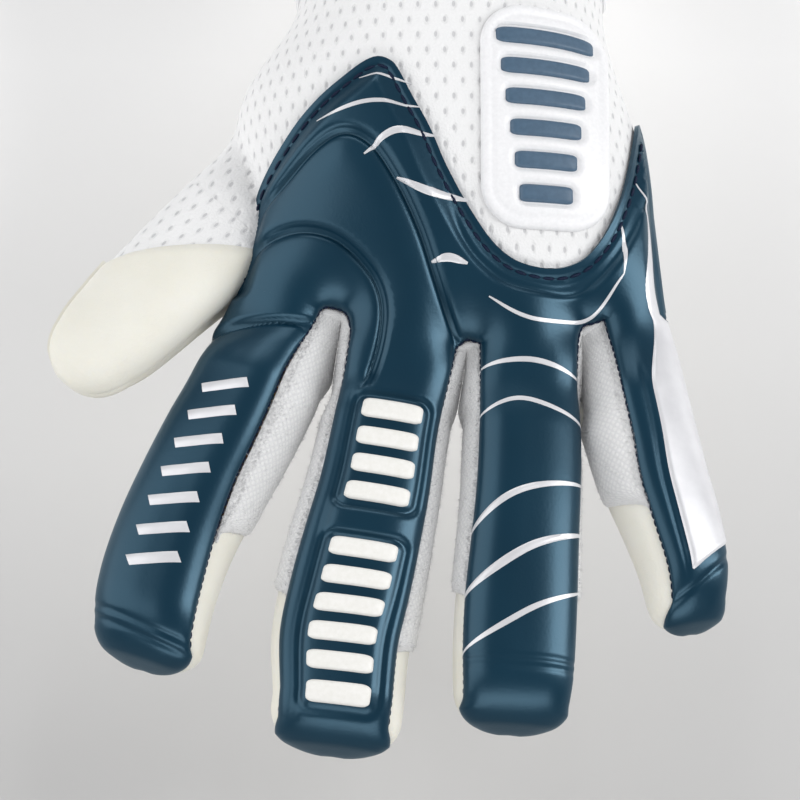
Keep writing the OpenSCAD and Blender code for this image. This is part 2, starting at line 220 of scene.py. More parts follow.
CROTCHES = [crotch("index", "middle", (-24.4, -37.2), (-21.2, -37.8), (-19.4, -39.6)),
            crotch("middle", "ring", (7.0, -44.6)),
            crotch("ring", "little", (31.8, -43.6), (32.9, -40.9), (35.4, -40.2))]
FINGER_SIDES = [plan(f, np.linspace(0, 40, 2), np.full(2, side * f["reach"][max(side, 0)]))
                for f in FINGERS.values() for side in (-1, 1)]
side_y = np.linspace(44, -34, 60)
LEFT_EDGE = np.vstack([np.stack([hand_side(side_y)[0], side_y], axis=1)[:-3], corner("index", -1)[None]])
RIGHT_EDGE = np.vstack([np.stack([hand_side(side_y)[1], side_y], axis=1)[:-2], corner("little", 1)[None]])
ROOT_STEPS = np.linspace(-1, 1, 101)
ROOT_LINES = [plan(f, np.zeros(101), f["middle"] + ROOT_STEPS * f["half"]) for f in FINGERS.values()]
FRONT = [ROOT_LINES[0]]
for gap, line in zip(CROTCHES, ROOT_LINES[1:]):
    FRONT += [gap[1:-1], line]
FRONT = np.vstack(FRONT)


def palm_rise(d):
    return PALM_THICK * (1 - np.sqrt(1 - (1 - np.clip(d / PALM_ROLL, 0, 1)) ** 2))


palm_outline = np.vstack([even(LEFT_EDGE, 1.2)[:-1], FRONT, even(RIGHT_EDGE[::-1], 1.2)[1:],
                          np.stack([np.linspace(39, -31, 50)[1:-1], np.full(48, 44.0)], axis=1)])
palm_edges = [LEFT_EDGE, RIGHT_EDGE] + CROTCHES


def palm_lift(flat):
    d = near(flat, *palm_edges, *FINGER_SIDES)
    return np.column_stack([flat, palm_rise(d)])


palm = plan_sheet("palm_sheet", palm_outline, palm_edges, 1.3, [0.15, 0.5, 1.0, 1.7, 2.6], palm_lift)


def face_out(piece, way):
    """Turns all faces over if they look against the given direction on the whole."""
    normals = np.array([p.normal * p.area for p in piece.data.polygons])
    if normals.sum(axis=0) @ np.array(way) < 0:
        piece.data.flip_normals()


def wall(piece, thick, way=None, share=None):
    """Gives a sheet that faces the given way its thickness on its inner side; share thins some points."""
    if way is not None:
        face_out(piece, way)
    modifier = piece.modifiers.new("wall", "SOLIDIFY")
    modifier.thickness = thick * 0.001
    modifier.offset = -1
    if share is not None:
        group = piece.vertex_groups.new(name="thick")
        for i, part in enumerate(share):
            group.add([i], float(part), "REPLACE")
        modifier.vertex_group = "thick"
        modifier.thickness_vertex_group = 0.0
    bpy.ops.object.modifier_apply(modifier="wall")
    piece.vertex_groups.clear()


wall(palm, 2.5, (0, 0, -1))


def finish_nodes(name, colour, rough, sockets=()):
    material = bpy.data.materials.new(name)
    material.use_nodes = True
    nodes, links = material.node_tree.nodes, material.node_tree.links
    shader = nodes["Principled BSDF"]
    for key, value in {"Base Color": (*colour, 1), "Roughness": rough, **dict(sockets)}.items():
        shader.inputs[key].default_value = value
    return material, nodes, links, shader


def add(nodes, kind, **values):
    node = nodes.new(kind)
    for key, value in values.items():
        if hasattr(node, key):
            setattr(node, key, value)
        else:
            node.inputs[key].default_value = value
    return node


def mapped(nodes, links, kind, cloth=False, **values):
    """A node fed with the piece's own place in metres, or with its cloth map in millimetres."""
    place = add(nodes, "ShaderNodeUVMap", uv_map="cloth") if cloth else add(nodes, "ShaderNodeTexCoord")
    node = add(nodes, kind, **values)
    links.new(place.outputs["UV" if cloth else "Object"], node.inputs["Vector"])
    return node


def raise_grain(nodes, links, shader, height, strength, distance, under=None):
    bump = add(nodes, "ShaderNodeBump", Strength=strength, Distance=distance)
    links.new(height, bump.inputs["Height"])
    if under:
        links.new(under.outputs["Normal"], bump.inputs["Normal"])
    links.new(bump.outputs["Normal"], shader.inputs["Normal"])
    return bump


def tint(nodes, links, shader, mask, low, high, start=0.3, stop=0.7):
    """Colours a surface between two tones by a mask."""
    tones = add(nodes, "ShaderNodeValToRGB")
    for element, position, tone in zip(tones.color_ramp.elements, (start, stop), (low, high)):
        element.position, element.color = position, (*tone, 1)
    links.new(mask, tones.inputs["Fac"])
    links.new(tones.outputs["Color"], shader.inputs["Base Color"])


def grain_finish(name, colour, rough, low, high, tone, grain, strength, depth=0.0002, sockets=()):
    """A finish between two tones with a fine grain; tone and grain are grains per metre and detail."""
    material, nodes, links, shader = finish_nodes(name, colour, rough, sockets)
    shade, bumps = [mapped(nodes, links, "ShaderNodeTexNoise", Scale=scale, Detail=detail)
                    for scale, detail in (tone, grain)]
    tint(nodes, links, shader, shade.outputs["Fac"], low, high)
    raise_grain(nodes, links, shader, bumps.outputs["Fac"], strength, depth)
    return material


latex_skin = grain_finish("natural_latex", (0.86, 0.84, 0.75), 0.62, (0.715, 0.695, 0.615),
                          (0.755, 0.74, 0.675), (60, 3), (2600, 3), 0.35, 0.0003,
                          {"Subsurface Weight": 0.12, "Subsurface Radius": (0.004, 0.003, 0.0018),
                           "Subsurface Scale": 1.0, "Specular IOR Level": 0.35})


def give(piece, material, body, slot, *nodes, smooth=60):
    """Smooths the chosen piece below an angle and sets its finish, body and replaced CAD; slot is not used."""
    bpy.ops.object.shade_smooth_by_angle(angle=math.radians(smooth))
    piece.data.materials.clear()
    piece.data.materials.append(material)
    if body:
        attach(piece, body)
    if nodes:
        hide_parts(*nodes)


give(palm, latex_skin, "hand", "palm_latex", "palm_latex", smooth=40)


# Finger fronts: the same latex on foam, one strip under each finger that climbs its sides beyond
# the towelling and meets the back pad round the tip. Stuffed fingers are boxy with round corners.
SECTION_POWER = 2.7
NOSE = 14.0
turn_steps = np.linspace(0, math.pi, 2001)
section_x = np.abs(np.sin(turn_steps)) ** (2 / SECTION_POWER)
section_z = np.sign(np.cos(turn_steps)) * np.abs(np.cos(turn_steps)) ** (2 / SECTION_POWER)
walk = np.concatenate([[0], np.cumsum(np.hypot(14.5 * np.diff(section_x), 10.5 * np.diff(section_z)))])
walk /= walk[-1]


def section(q):
    """Unit section by the share of the way from the top (0) to the middle of the underside (1 or -1)."""
    return np.sign(q) * np.interp(np.abs(q), walk, section_x), np.interp(np.abs(q), walk, section_z)


def here(finger, row, s):
    """A size that changes along the finger, from its row in the table of fingers."""
    return np.interp(s, finger[row][:, 0], finger[row][:, 1])


def tip_close(finger, s):
    """How far the sides have closed in towards the fingertip."""
    share = np.clip((s - finger["end"] + 8.5) / 8.5, 0, 1)
    return (1 - share**2.7) ** (1 / 2.7)


def tube(finger, s, q):
    """A point on the stuffed finger: s along it from its root line, q round it from the top."""
    length = finger["end"]
    tip = np.clip((s - (length - NOSE)) / NOSE, 0, 1)
    close = (1 - tip**2.3) ** (1 / 2.3)
    half_w = here(finger, "girth", s)
    half_h = 10.4 - 1.5 * ramp(s, 30, length) - (1.2 if finger["name"] == "little" else 0)
    x, z = section(q)
    drop = 0.45 * half_h * (1 - close)
    x, z = x * half_w * tip_close(finger, s), z * half_h * close - drop
    roll = np.radians(here(finger, "roll", s))
    lowest = (np.abs(half_w * np.sin(roll)) ** (SECTION_POWER / (SECTION_POWER - 1))
              + np.abs(half_h * np.cos(roll)) ** (SECTION_POWER / (SECTION_POWER - 1))) \
        ** ((SECTION_POWER - 1) / SECTION_POWER)
    side = x * np.cos(roll) + z * np.sin(roll)
    up = -x * np.sin(roll) + z * np.cos(roll) + lowest + 0.5
    flat = plan(finger, s, side + here(finger, "bow", s))
    return np.concatenate([flat, up[..., None]], axis=-1)


def nose(finger, ahead):
    """The point where a fingertip closes, or one a little ahead of it."""
    end = np.full(2, finger["end"] - 0.03)
    point = tube(finger, end, np.array([0.0, 1.0])).mean(axis=0)
    point[:2] += finger["along"] * ahead
    return point


def pad_reach(finger, s):
    """How far round the finger the back pad goes; it keeps its width until the fingertip closes in."""
    root, tip = finger["pad"]
    wide = section(root + (tip - root) * ramp(s, 40, 74))[0] / np.maximum(tip_close(finger, s), 0.01)
    round_share = np.interp(np.minimum(wide, 0.985), section_x[:1001], walk[:1001])
    return round_share + 0.1 * ramp(s, finger["end"] - 5, finger["end"] - 0.5)


def gusset_end(finger, side):
    return np.where(side > 0, finger["towel"][1], finger["towel"][0])


def latex_reach(finger, s, side):
    end = gusset_end(finger, side)
    return 0.70 + (pad_reach(finger, s) - 0.05 - 0.70) * ramp(s, end - 8.0, end - 0.5)


def latex_front(finger, s, v):
    """v runs from the left edge (-1) under the finger to the right edge (1)."""
    start = latex_reach(finger, s, v)
    q = np.sign(v) * (start + (1 - start) * (1 - np.abs(v)))
    q = np.where(v == 0, 1.0, q)
    base = tube(finger, s, q)
    # Over the hand the strip lies on the palm, with the same rolled edge
    edge = (1 - np.abs(v)) / 0.4
    round_part = np.clip(edge, 0, 1) * math.pi / 2
    half = finger["half"]
    d = np.where(edge < 1, PALM_ROLL * (1 - np.cos(round_part)),
                 PALM_ROLL + (half - PALM_ROLL) * (edge - 1) / 1.5)
    z = np.where(edge < 1, PALM_THICK * (1 - np.sin(round_part)), 0.0)
    flat = plan(finger, s, finger["middle"] + np.sign(v) * (half - d))
    palm_side = np.concatenate([flat, z[..., None]], axis=-1)
    w = ramp(s, 0, 20)[..., None]
    return palm_side * (1 - w) + base * w


def skin(place, s, t, lift, ds=0.02, dt=0.01):
    """Lifts a surface along its own normal; place(s, t) gives its points."""
    a = place(s + ds, t) - place(s - ds, t)
    b = place(s, np.clip(t + dt, -1, 1)) - place(s, np.clip(t - dt, -1, 1))
    return place(s, t) + unit(np.cross(a, b)) * np.asarray(lift)[..., None]


def finger_rows(finger, start, stop, step=0.7):
    length = finger["end"]
    if stop < length:
        return np.linspace(start, stop, int((stop - start) / step) + 1)
    body = np.arange(start, length - NOSE, step)
    nose = length - NOSE + NOSE * np.sin(np.linspace(0, math.pi / 2, int(24 / step)))
    return np.concatenate([body, np.minimum(nose, length - 0.03)])


def grid_piece(name, points):
    rows, columns = points.shape[:2]
    bpy.ops.object.select_all(action="DESELECT")
    bpy.ops.mesh.primitive_grid_add(x_subdivisions=columns - 1, y_subdivisions=rows - 1, size=2)
    piece = bpy.context.object
    piece.name = name
    piece.data.name = name
    piece.data.vertices.foreach_set("co", (points.reshape(-1, 3) * 0.001).ravel())
    piece.data.update()
    return piece


def weld(piece, gap=0.02):
    bpy.ops.object.mode_set(mode="EDIT")
    bpy.ops.mesh.select_all(action="SELECT")
    bpy.ops.mesh.remove_doubles(threshold=gap * 0.001)
    bpy.ops.object.mode_set(mode="OBJECT")


CREASE_HEIGHT = 0.010
ROOT_CREASE, ROOT_BEND = 11.0, 10.5


def hinge_span(limb, at, reach):
    """The two points, in metres, at the ends of a crease."""
    return [(*(plan(limb, at + d, 0) * 0.001), CREASE_HEIGHT) for d in (-reach, reach)]


def bend_with(piece, finger, part):
    """Bakes the piece's transform; the span of the finger's root crease or its middle crease is worked out but
    not used.
    """
    if part == "base":
        start, end = hinge_span(finger, ROOT_CREASE, ROOT_BEND)
        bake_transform(piece)
    else:
        start, end = hinge_span(finger, finger["mid"], finger["mid"] - finger["split"] - 1)
        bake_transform(piece)


def stretches(finger):
    """The two stretches of a finger; the second runs on past the fingertip."""
    return ("base", 0.0, finger["split"]), ("tip", finger["split"], 200.0)


edge_steps = 0.4 * np.linspace(0, 1, 13)
v_steps = np.concatenate([-1 + edge_steps[:-1], np.linspace(-0.6, 0.6, 21), 0.6 + edge_steps[1:]])
for name, finger in FINGERS.items():
    for part, start, stop in stretches(finger):
        s, v = np.meshgrid(finger_rows(finger, start, stop), v_steps, indexing="ij")
        points = latex_front(finger, s, v)
        if part == "tip":
            points[-1] = nose(finger, 0.0)
        strip = grid_piece(f"{name}_front_{part}", points)
        weld(strip)
        if strip.data.polygons[len(strip.data.polygons) // 2].normal.z > 0:
            strip.data.flip_normals()
        wall(strip, 1.6)
        fold = f"{name}_crease_root" if part == "base" else f"{name}_crease_mid"
        give(strip, latex_skin, None, "palm_latex", f"{name}_latex_{part}", fold, smooth=40)
        bend_with(strip, finger, part)


# Linings: thin white jersey laid inside the palm and the back, cut to shape and sewn in with the
# cuff's seam.
SIDE_SEAM = 6.3
ARCH_POWER = 2.5
lining_skin, nodes, links, shader = finish_nodes("jersey_lining", (0.80, 0.80, 0.80), 0.85)
loops = mapped(nodes, links, "ShaderNodeTexWave", Scale=900, Distortion=2.0)
tint(nodes, links, shader, loops.outputs["Fac"], (0.70, 0.70, 0.71), (0.82, 0.82, 0.82))
raise_grain(nodes, links, shader, loops.outputs["Fac"], 0.4, 0.0002)


def hand_arch(y, t, inset):
    """A point over the back of the hand: t runs from the left edge (-1) to the right edge (1)."""
    left, right = hand_side(y)
    top = np.interp(y, FINE_Y, TOP_LINE)
    angle = t * math.pi / 2
    wide = np.sign(t) * np.abs(np.sin(angle)) ** (2 / ARCH_POWER)
    x = (left + right) / 2 + ((right - left) / 2 - inset) * wide
    z = SIDE_SEAM + (top - SIDE_SEAM - inset) * np.abs(np.cos(angle)) ** (2 / ARCH_POWER)
    return np.stack([x, y, z], axis=-1)


y, t = np.meshgrid(np.linspace(43.5, -30, 50), np.linspace(-1, 1, 61), indexing="ij")
back_lining = grid_piece("back_jersey", hand_arch(y, t, 2.6))
wall(back_lining, 0.7, (0, 0, 1))
give(back_lining, lining_skin, "hand", "lining", "back_lining", smooth=40)
left, right = hand_side(y)
flat = np.stack([(left + right) / 2 + t * ((right - left) / 2 - 6), y, np.full_like(y, 7.6)], axis=-1)
palm_lining = grid_piece("palm_jersey", flat)
wall(palm_lining, 0.7, (0, 0, 1))
give(palm_lining, lining_skin, "hand", "lining", "palm_lining", smooth=40)


# Back of the hand: white spacer mesh with staggered slots, one sheet sewn to the palm along both
# sides and drawn in towards the wrist. It runs out round the root of the thumb.
THUMB = dict(root=np.array([-38.96, -2.3]), spread=43.0)
aim(THUMB)
THUMB_STEPS = (-14, -7, 0, 5, 11, 18, 28, 40, 50, 57)
THUMB_LEFT = (16.0, 15.0, 12.6, 11.4, 11.0, 11.0, 11.2, 11.3, 10.6, 9.8)
THUMB_RIGHT = (15.0, 16.0, 17.0, 17.0, 16.8, 16.6, 16.2, 15.4, 14.2, 12.8)
THUMB_END = 66.4
thumb_rows = [track(list(zip(THUMB_STEPS, row)), 12) for row in (THUMB_LEFT, THUMB_RIGHT)]


def thumb_tube(s, q, grow=0.0):
    """A point on the stuffed thumb, flatter than a finger and a little rolled towards the palm."""
    tip = np.clip((s - (THUMB_END - 16)) / 16, 0, 1)
    close = (1 - tip**2.5) ** (1 / 2.5)
    left, right = [np.interp(s, row[:, 0], row[:, 1]) for row in thumb_rows]
    half_w = ((left + right) / 2 + grow) * close
    half_h = (10.4 - 2.2 * ramp(s, 20, 60)) * (0.5 + 0.5 * ramp(s, -14, 14)) + grow
    x, z = section(q)
    roll = math.radians(-14)
    lowest = half_h + 0.6 - grow
    x, z = x * half_w, z * half_h * close
    side = x * math.cos(roll) + z * math.sin(roll) * 0.6
    up = -x * math.sin(roll) * ramp(s, 10, 40) + z * math.cos(roll) + lowest + 2.2 * ramp(s, 10, 40)
    flat = plan(THUMB, s, side + (right - left) / 2)
    return np.concatenate([flat, up[..., None]], axis=-1)


def turn_out(piece, fill=False):
    """Welds a tube and turns its faces outwards; fill closes its open ends first."""
    weld(piece)
    bpy.ops.object.mode_set(mode="EDIT")
    bpy.ops.mesh.select_all(action="SELECT")
    if fill:
        bpy.ops.mesh.fill_holes(sides=0)
    bpy.ops.mesh.normals_make_consistent(inside=False)
    bpy.ops.object.mode_set(mode="OBJECT")


def join(parts, name):
    bpy.ops.object.select_all(action="DESELECT")
    for part in parts:
        part.select_set(True)
    bpy.context.view_layer.objects.active = parts[0]
    if len(parts) > 1:
        bpy.ops.object.join()
    parts[0].name = name
    return parts[0]


SHELL_TOP = 0.75
y, t = np.meshgrid(np.linspace(47, -41, 60), np.linspace(0, 1, 97), indexing="ij")
arch = hand_arch(y, np.where(t < SHELL_TOP, t / SHELL_TOP * 2 - 1, 0), 0.0)
left, right = hand_side(y)
back_across = np.clip((t - SHELL_TOP) / (1 - SHELL_TOP), 0, 1)
under = np.stack([right + (left - right) * back_across, y, np.full_like(y, 2.0)], axis=-1)
body = grid_piece("air_mesh_back", np.where((t < SHELL_TOP)[..., None], arch, under))
turn_out(body, fill=True)
s, q = np.meshgrid(np.linspace(-14, 30, 50), np.linspace(-1, 1, 73), indexing="ij")
sleeve = grid_piece("thumb_sleeve", thumb_tube(s, q))
turn_out(sleeve, fill=True)
body = join([body, sleeve], "air_mesh_back")
remesh = body.modifiers.new("one_skin", "REMESH")
remesh.mode = "VOXEL"
remesh.voxel_size = 0.0011
bpy.ops.object.modifier_apply(modifier="one_skin")
ease = body.modifiers.new("ease", "SMOOTH")
ease.iterations = 14
ease.factor = 0.5
bpy.ops.object.modifier_apply(modifier="ease")


def trim(point, way, chosen=None):
    """Cuts off what lies on the side that way points to; chosen limits the cut to some faces."""
    data = bpy.context.object.data
    centres = np.empty(len(data.polygons) * 3)
    data.polygons.foreach_get("center", centres)
    centres = centres.reshape(-1, 3) * 1000
    take = np.ones(len(centres), bool) if chosen is None else chosen(centres)
    data.polygons.foreach_set("select", take)
    spots = np.zeros(len(data.vertices), bool)
    edges = np.zeros(len(data.edges), bool)
    data.vertices.foreach_set("select", spots)
    data.edges.foreach_set("select", edges)
    bpy.ops.object.mode_set(mode="EDIT")
    bpy.ops.mesh.select_mode(type="FACE")
    bpy.ops.object.mode_set(mode="OBJECT")
    data.polygons.foreach_set("select", take)
    bpy.ops.object.mode_set(mode="EDIT")
    bpy.ops.mesh.bisect(plane_co=[c * 0.001 for c in point], plane_no=way, clear_outer=True)
    bpy.ops.object.mode_set(mode="OBJECT")


trim((0, 0, 6.4), (0, 0, -1))
trim((0, 45, 0), (0, 1, 0))
thumb_cut = plan(THUMB, 17.0, 0)
trim((*thumb_cut, 0), (*THUMB["along"], 0), lambda c: (c[:, 0] < -42.5) & (c[:, 1] < 10))
for name, side in (("index", -1), ("little", 1)):
    finger = FINGERS[name]
    at = plan(finger, 1.5, 0)
    trim((*at, 0), (*finger["along"], 0), lambda c: c[:, 0] * side > 28)
trim((0, -41, 0), (0, -1, 0))
trim((0, -30, 0), (0, -1, 0), lambda c: (c[:, 0] > -37) & (c[:, 0] < 43))
weld(body, 0.01)


def points_of(piece):
    """A piece's points, in millimetres."""
    spots = np.empty(len(piece.data.vertices) * 3)
    piece.data.vertices.foreach_get("co", spots)
    return spots.reshape(-1, 3) * 1000


def lay_flat(piece, across, along):
    """Writes a UV map from a length across and a length along the cloth, in millimetres."""
    layer = piece.data.uv_layers.new(name="cloth")
    corners = np.empty(len(piece.data.loops), int)
    piece.data.loops.foreach_get("vertex_index", corners)
    layer.data.foreach_set("uv", np.stack([across[corners], along[corners]], axis=1).ravel())


spots = points_of(body)
left, right = hand_side(spots[:, 1])
tops = np.interp(spots[:, 1], FINE_Y, TOP_LINE)
out = np.tanh((spots[:, 0] - (left + right) / 2) / 12)
lay_flat(body, spots[:, 0] + out * 0.75 * (tops - spots[:, 2]), spots[:, 1])
wall(body, 1.3)

SLOT_PITCH = (4.05, 7.4)
SLOT_HALF = (0.44, 0.88)
mesh_skin, nodes, links, shader = finish_nodes("air_mesh", (0.84, 0.84, 0.84), 0.8,
                                               {"Sheen Weight": 0.25, "Sheen Roughness": 0.5})


def slots(nodes, links, shift):
    """Distance from the middle of the nearest slot, 1 at its rim, on one set of slots."""
    fit = mapped(nodes, links, "ShaderNodeMapping", True, Location=(shift, shift, 0),
                 Scale=(1 / SLOT_PITCH[0], 1 / SLOT_PITCH[1], 0))
    stretch = (SLOT_PITCH[0] / SLOT_HALF[0], SLOT_PITCH[1] / SLOT_HALF[1], 0)
    value = fit.outputs["Vector"]
    for operation, by in (("FRACTION", None), ("SUBTRACT", (0.5, 0.5, 0)), ("MULTIPLY", stretch),
                          ("LENGTH", None)):
        step = add(nodes, "ShaderNodeVectorMath", operation=operation)
        links.new(value, step.inputs[0])
        if by:
            step.inputs[1].default_value = by
        value = step.outputs["Value" if operation == "LENGTH" else "Vector"]
    return value


nearest = add(nodes, "ShaderNodeMath", operation="MINIMUM")
for i, shift in enumerate((0.0, 0.5)):
    links.new(slots(nodes, links, shift), nearest.inputs[i])
# The slots are painted a darker grey than the mesh around them: painted shade in the holes.
tint(nodes, links, shader, nearest.outputs[0], (0.52, 0.52, 0.53), (0.755, 0.755, 0.755), 0.6, 1.25)
dent = add(nodes, "ShaderNodeMapRange", interpolation_type="SMOOTHSTEP", **{"From Min": 0.3, "From Max": 2.0})
links.new(nearest.outputs[0], dent.inputs["Value"])
dents = raise_grain(nodes, links, shader, dent.outputs["Result"], 0.5, 0.0006)
threads = mapped(nodes, links, "ShaderNodeTexVoronoi", True, Scale=1.9)
raise_grain(nodes, links, shader, threads.outputs["Distance"], 0.35, 0.00025, dents)
give(body, mesh_skin, "hand", "air_mesh", "mesh_body")


# Thumb: the mesh runs on as a sleeve to a slanting seam, and beyond it a latex wrap and the latex
# palm side are sewn together edge to edge.
THUMB_HALF = 13.5
THUMB_ROUND = 44
THUMB_SEAM = 27.2
SLEEVE_FROM = 14.0


def thumb_seam(a):
    return THUMB_SEAM - a


thumb_span = hinge_span(THUMB, 27.0, 12.0)
share, q = np.meshgrid(np.linspace(0, 1, 50), np.linspace(-0.74, 0.74, 121), indexing="ij")
s = SLEEVE_FROM + (thumb_seam(section(q)[0] * THUMB_HALF) + 0.8 - SLEEVE_FROM) * share
dip = -0.7 * np.exp(-(((q + 0.36) * THUMB_ROUND / 0.7) ** 2))
web = grid_piece("thumb_mesh_sleeve", thumb_tube(s, q, dip))
lay_flat(web, (q * THUMB_ROUND).ravel(), s.ravel())
wall(web, 1.2, (0, 0, 1))
give(web, mesh_skin, None, "air_mesh", "thumb_web")
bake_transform(web)
tip_s = THUMB_END - 0.03
for name, low, high, node in (("thumb_latex_wrap", -0.38, 0.53, ["thumb_wrap"]),
                              ("thumb_latex_palm", 0.53, 1.62, ["thumb_palm", "thumb_crease"])):
    top = node[0] == "thumb_wrap"
    share, q = np.meshgrid(np.sin(np.linspace(0, math.pi / 2, 90)) ** 0.85, np.linspace(low, high, 71),
                           indexing="ij")
    turned = np.where(q > 1, q - 2, q)
    start = thumb_seam(section(turned)[0] * THUMB_HALF)
    if not top:
        start = np.where(q > 1.46, start, -10.0 + 38.0 * ramp(q, 1.40, 1.46))
    s = start + (tip_s - start) * share
    edge = np.minimum(np.abs(q - low), np.abs(high - q)) * THUMB_ROUND
    seam_pull = -0.9 * np.exp(-((edge - 0.2) / 1.3) ** 2)
    head = 0.9 * (1 - np.exp(-((s - start) / 1.4) ** 2)) if top else 0.4
    if not top:
        lip = ramp(-turned, 0.1, 0.3)
        seam_pull = seam_pull * (1 - lip) + 0.9 * lip * np.exp(-((edge / 2.6) ** 2))
    points = thumb_tube(s, turned, 0.0)
    out = points - thumb_tube(s, turned, -1.0)
    points = points + out * ((seam_pull + head) * (1 - ramp(s, tip_s - 3.0, tip_s)))[..., None]
    points[-1] = thumb_tube(tip_s, 0.5)
    half = grid_piece(name, points)
    weld(half)
    wall(half, 1.5, (0, 0, 1 if top else -1))
    give(half, latex_skin, None, "palm_latex", *node, smooth=50)
    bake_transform(half)


# Side strips: white towelling sewn between each finger's front and its back pad, one strip down
# each side and a web across each fork.
towel_skin, nodes, links, shader = finish_nodes("towelling", (0.82, 0.82, 0.82), 0.9,
                                                {"Sheen Weight": 0.4, "Sheen Roughness": 0.6})
knit = add(nodes, "ShaderNodeMath", operation="MULTIPLY")
for i, lean in enumerate((0.62, -0.62)):
    fit = mapped(nodes, links, "ShaderNodeMapping", True, Rotation=(0, 0, lean))
    row = add(nodes, "ShaderNodeTexWave", Scale=0.34, Distortion=0.5, Detail=1.0)
    links.new(fit.outputs["Vector"], row.inputs["Vector"])
    links.new(row.outputs["Fac"], knit.inputs[i])
tint(nodes, links, shader, knit.outputs[0], (0.63, 0.63, 0.635), (0.715, 0.715, 0.71), 0.0, 0.45)
tufts = mapped(nodes, links, "ShaderNodeTexNoise", True, Scale=3.0, Detail=3)
fluff = raise_grain(nodes, links, shader, tufts.outputs["Fac"], 0.5, 0.0005)
raise_grain(nodes, links, shader, knit.outputs[0], 0.3, 0.0004, fluff)
FORK_DIP = 4.0


def arch_height(flat, wider=0.0):
    """Height of the mesh at a point in plan; wider carries it past the side seams."""
    x, y = flat[..., 0], flat[..., 1]
    left, right = hand_side(y)
    across = np.clip(np.abs((2 * x - left - right) / (right - left + 2 * wider)), 0, 1)
    top = np.interp(y, FINE_Y, TOP_LINE)
    return SIDE_SEAM + (top - SIDE_SEAM) * (1 - across**ARCH_POWER) ** (1 / ARCH_POWER)


def panel_height(flat):
    """Height of the cloth under the back panel; it dips at the forks."""
    x, y = flat[..., 0], flat[..., 1]
    z = arch_height(flat, 0.7 + 1.8 * (1 - ramp(y, -30, -10))) + 0.5
    for line in CROTCHES:
        middle = line[len(line) // 2]
        z = z - FORK_DIP * np.exp(-((x - middle[0]) ** 2 + (y - middle[1]) ** 2) / 60)
    return z


def heart(finger, s):
    """The middle of the stuffed finger."""
    return (tube(finger, s, 0 * s) + tube(finger, s, 0 * s + 1)) / 2


def root_height(finger, s, a):
    """The same over a finger's root, where it stays up beside the hand."""
    beside = panel_height(plan(finger, 0 * s, a)) - 1.2 - 0.25 * s
    return np.maximum(panel_height(plan(finger, s, a)), beside)


def side_strip(finger, s, v, side):
    """v runs from the pad's edge (0) down to the latex (1)."""
    top = pad_reach(finger, s) - 0.04
    low = latex_reach(finger, s, side) + 0.03
    q = side * (top + (low - top) * v)
    base = tube(finger, s, q)
    out = unit(base - heart(finger, s))
    full = 1 - ramp(s, gusset_end(finger, side) - 6, gusset_end(finger, side) + 1)
    base = base + out * (0.25 + (0.1 + 0.9 * full) * np.sin(np.pi * np.clip(v, 0, 1)) ** 0.7)[..., None]
    a = np.full_like(s, side * finger["reach"][max(side, 0)])
    high = root_height(finger, s, a)
    hand = np.concatenate([plan(finger, s, a), (high + (PALM_THICK - 1.0 - high) * v)[..., None]], axis=-1)
    w = ramp(s, 0, 20)[..., None]
    return hand * (1 - w) + base * w


NAMES = list(FINGERS)
VALLEYS = {}
for i, end in enumerate(((-23.9, -55.5), (4.2, -62.0), (32.2, -66.0))):
    VALLEYS[NAMES[i], 1] = VALLEYS[NAMES[i + 1], -1] = (i, np.array(end))


def forked_strip(finger, s, v, side):
    """Near a fork the strips of two fingers puff out and meet in a valley that runs down to the palm."""
    base = side_strip(finger, s, v, side)
    if (finger["name"], side) not in VALLEYS:
        return base
    gap, end = VALLEYS[finger["name"], side]
    line = CROTCHES[gap]
    middle = line[len(line) // 2] + np.array([0.0, -2.2])
    reach = np.linalg.norm(end - middle)
    share = np.clip(s / reach, 0, 1.3)[..., None]
    top = panel_height(middle) - 1.2
    depth = top + (7.0 - top) * np.clip(share, 0, 1) ** 0.85
    valley = np.concatenate([middle + (end - middle) * share, depth], axis=-1)
    high, low = side_strip(finger, s, 0 * v, side), side_strip(finger, s, 0 * v + 1, side)
    puff = high * 0.3 + valley * 0.7
    puff[..., 2] = np.maximum(high[..., 2], valley[..., 2]) - 0.6
    t = np.clip(v / 0.72, 0, 1)[..., None]
    down = np.clip((v - 0.72) / 0.28, 0, 1)[..., None]
    fold = high * (1 - t) ** 2 + 2 * puff * t * (1 - t) + valley * t**2
    fold = fold * (1 - down) + low * down
    w = (1 - ramp(s, 0.7 * reach, 1.2 * reach))[..., None]
    return base * (1 - w) + fold * w


FIBRE = np.random.RandomState(7)


def fuzz(name, place, heart, low, high, count, long):
    """Loose fibres that stand up from towelling, each a thin closed spike; place(s, v) gives the cloth."""
    s = FIBRE.uniform(low, high, count)
    v = np.where(FIBRE.uniform(0, 1, count) < 0.6, FIBRE.uniform(0.0, 0.12, count),
                 FIBRE.uniform(0.05, 0.95, count))
    p = place(s, v)
    a, b = place(s + 0.2, v) - p, place(s, np.clip(v + 0.01, 0, 1)) - place(s, np.clip(v - 0.01, 0, 1))
    n = unit(np.cross(a, b))
    n *= np.sign(np.sum(n * (p - heart(s)), axis=1, keepdims=True) + 1e-9)
    way = unit(n + FIBRE.normal(0, 0.6, (count, 3)))
    side = unit(np.cross(way, FIBRE.normal(0, 1, (count, 3))))
    other = np.cross(way, side)
    size = FIBRE.uniform(0.5, 1.0, (count, 1)) * long
    foot = [p - 0.2 * way + 0.09 * (side * math.cos(k) + other * math.sin(k)) for k in (0, 2.094, 4.189)]
    points = np.stack([*foot, p + way * size], axis=1).reshape(-1, 3)
    spike = (0, 1, 3), (1, 2, 3), (2, 0, 3), (0, 2, 1)
    faces = [tuple(4 * k + i for i in face) for k in range(count) for face in spike]
    return mesh_piece(name, points, faces)


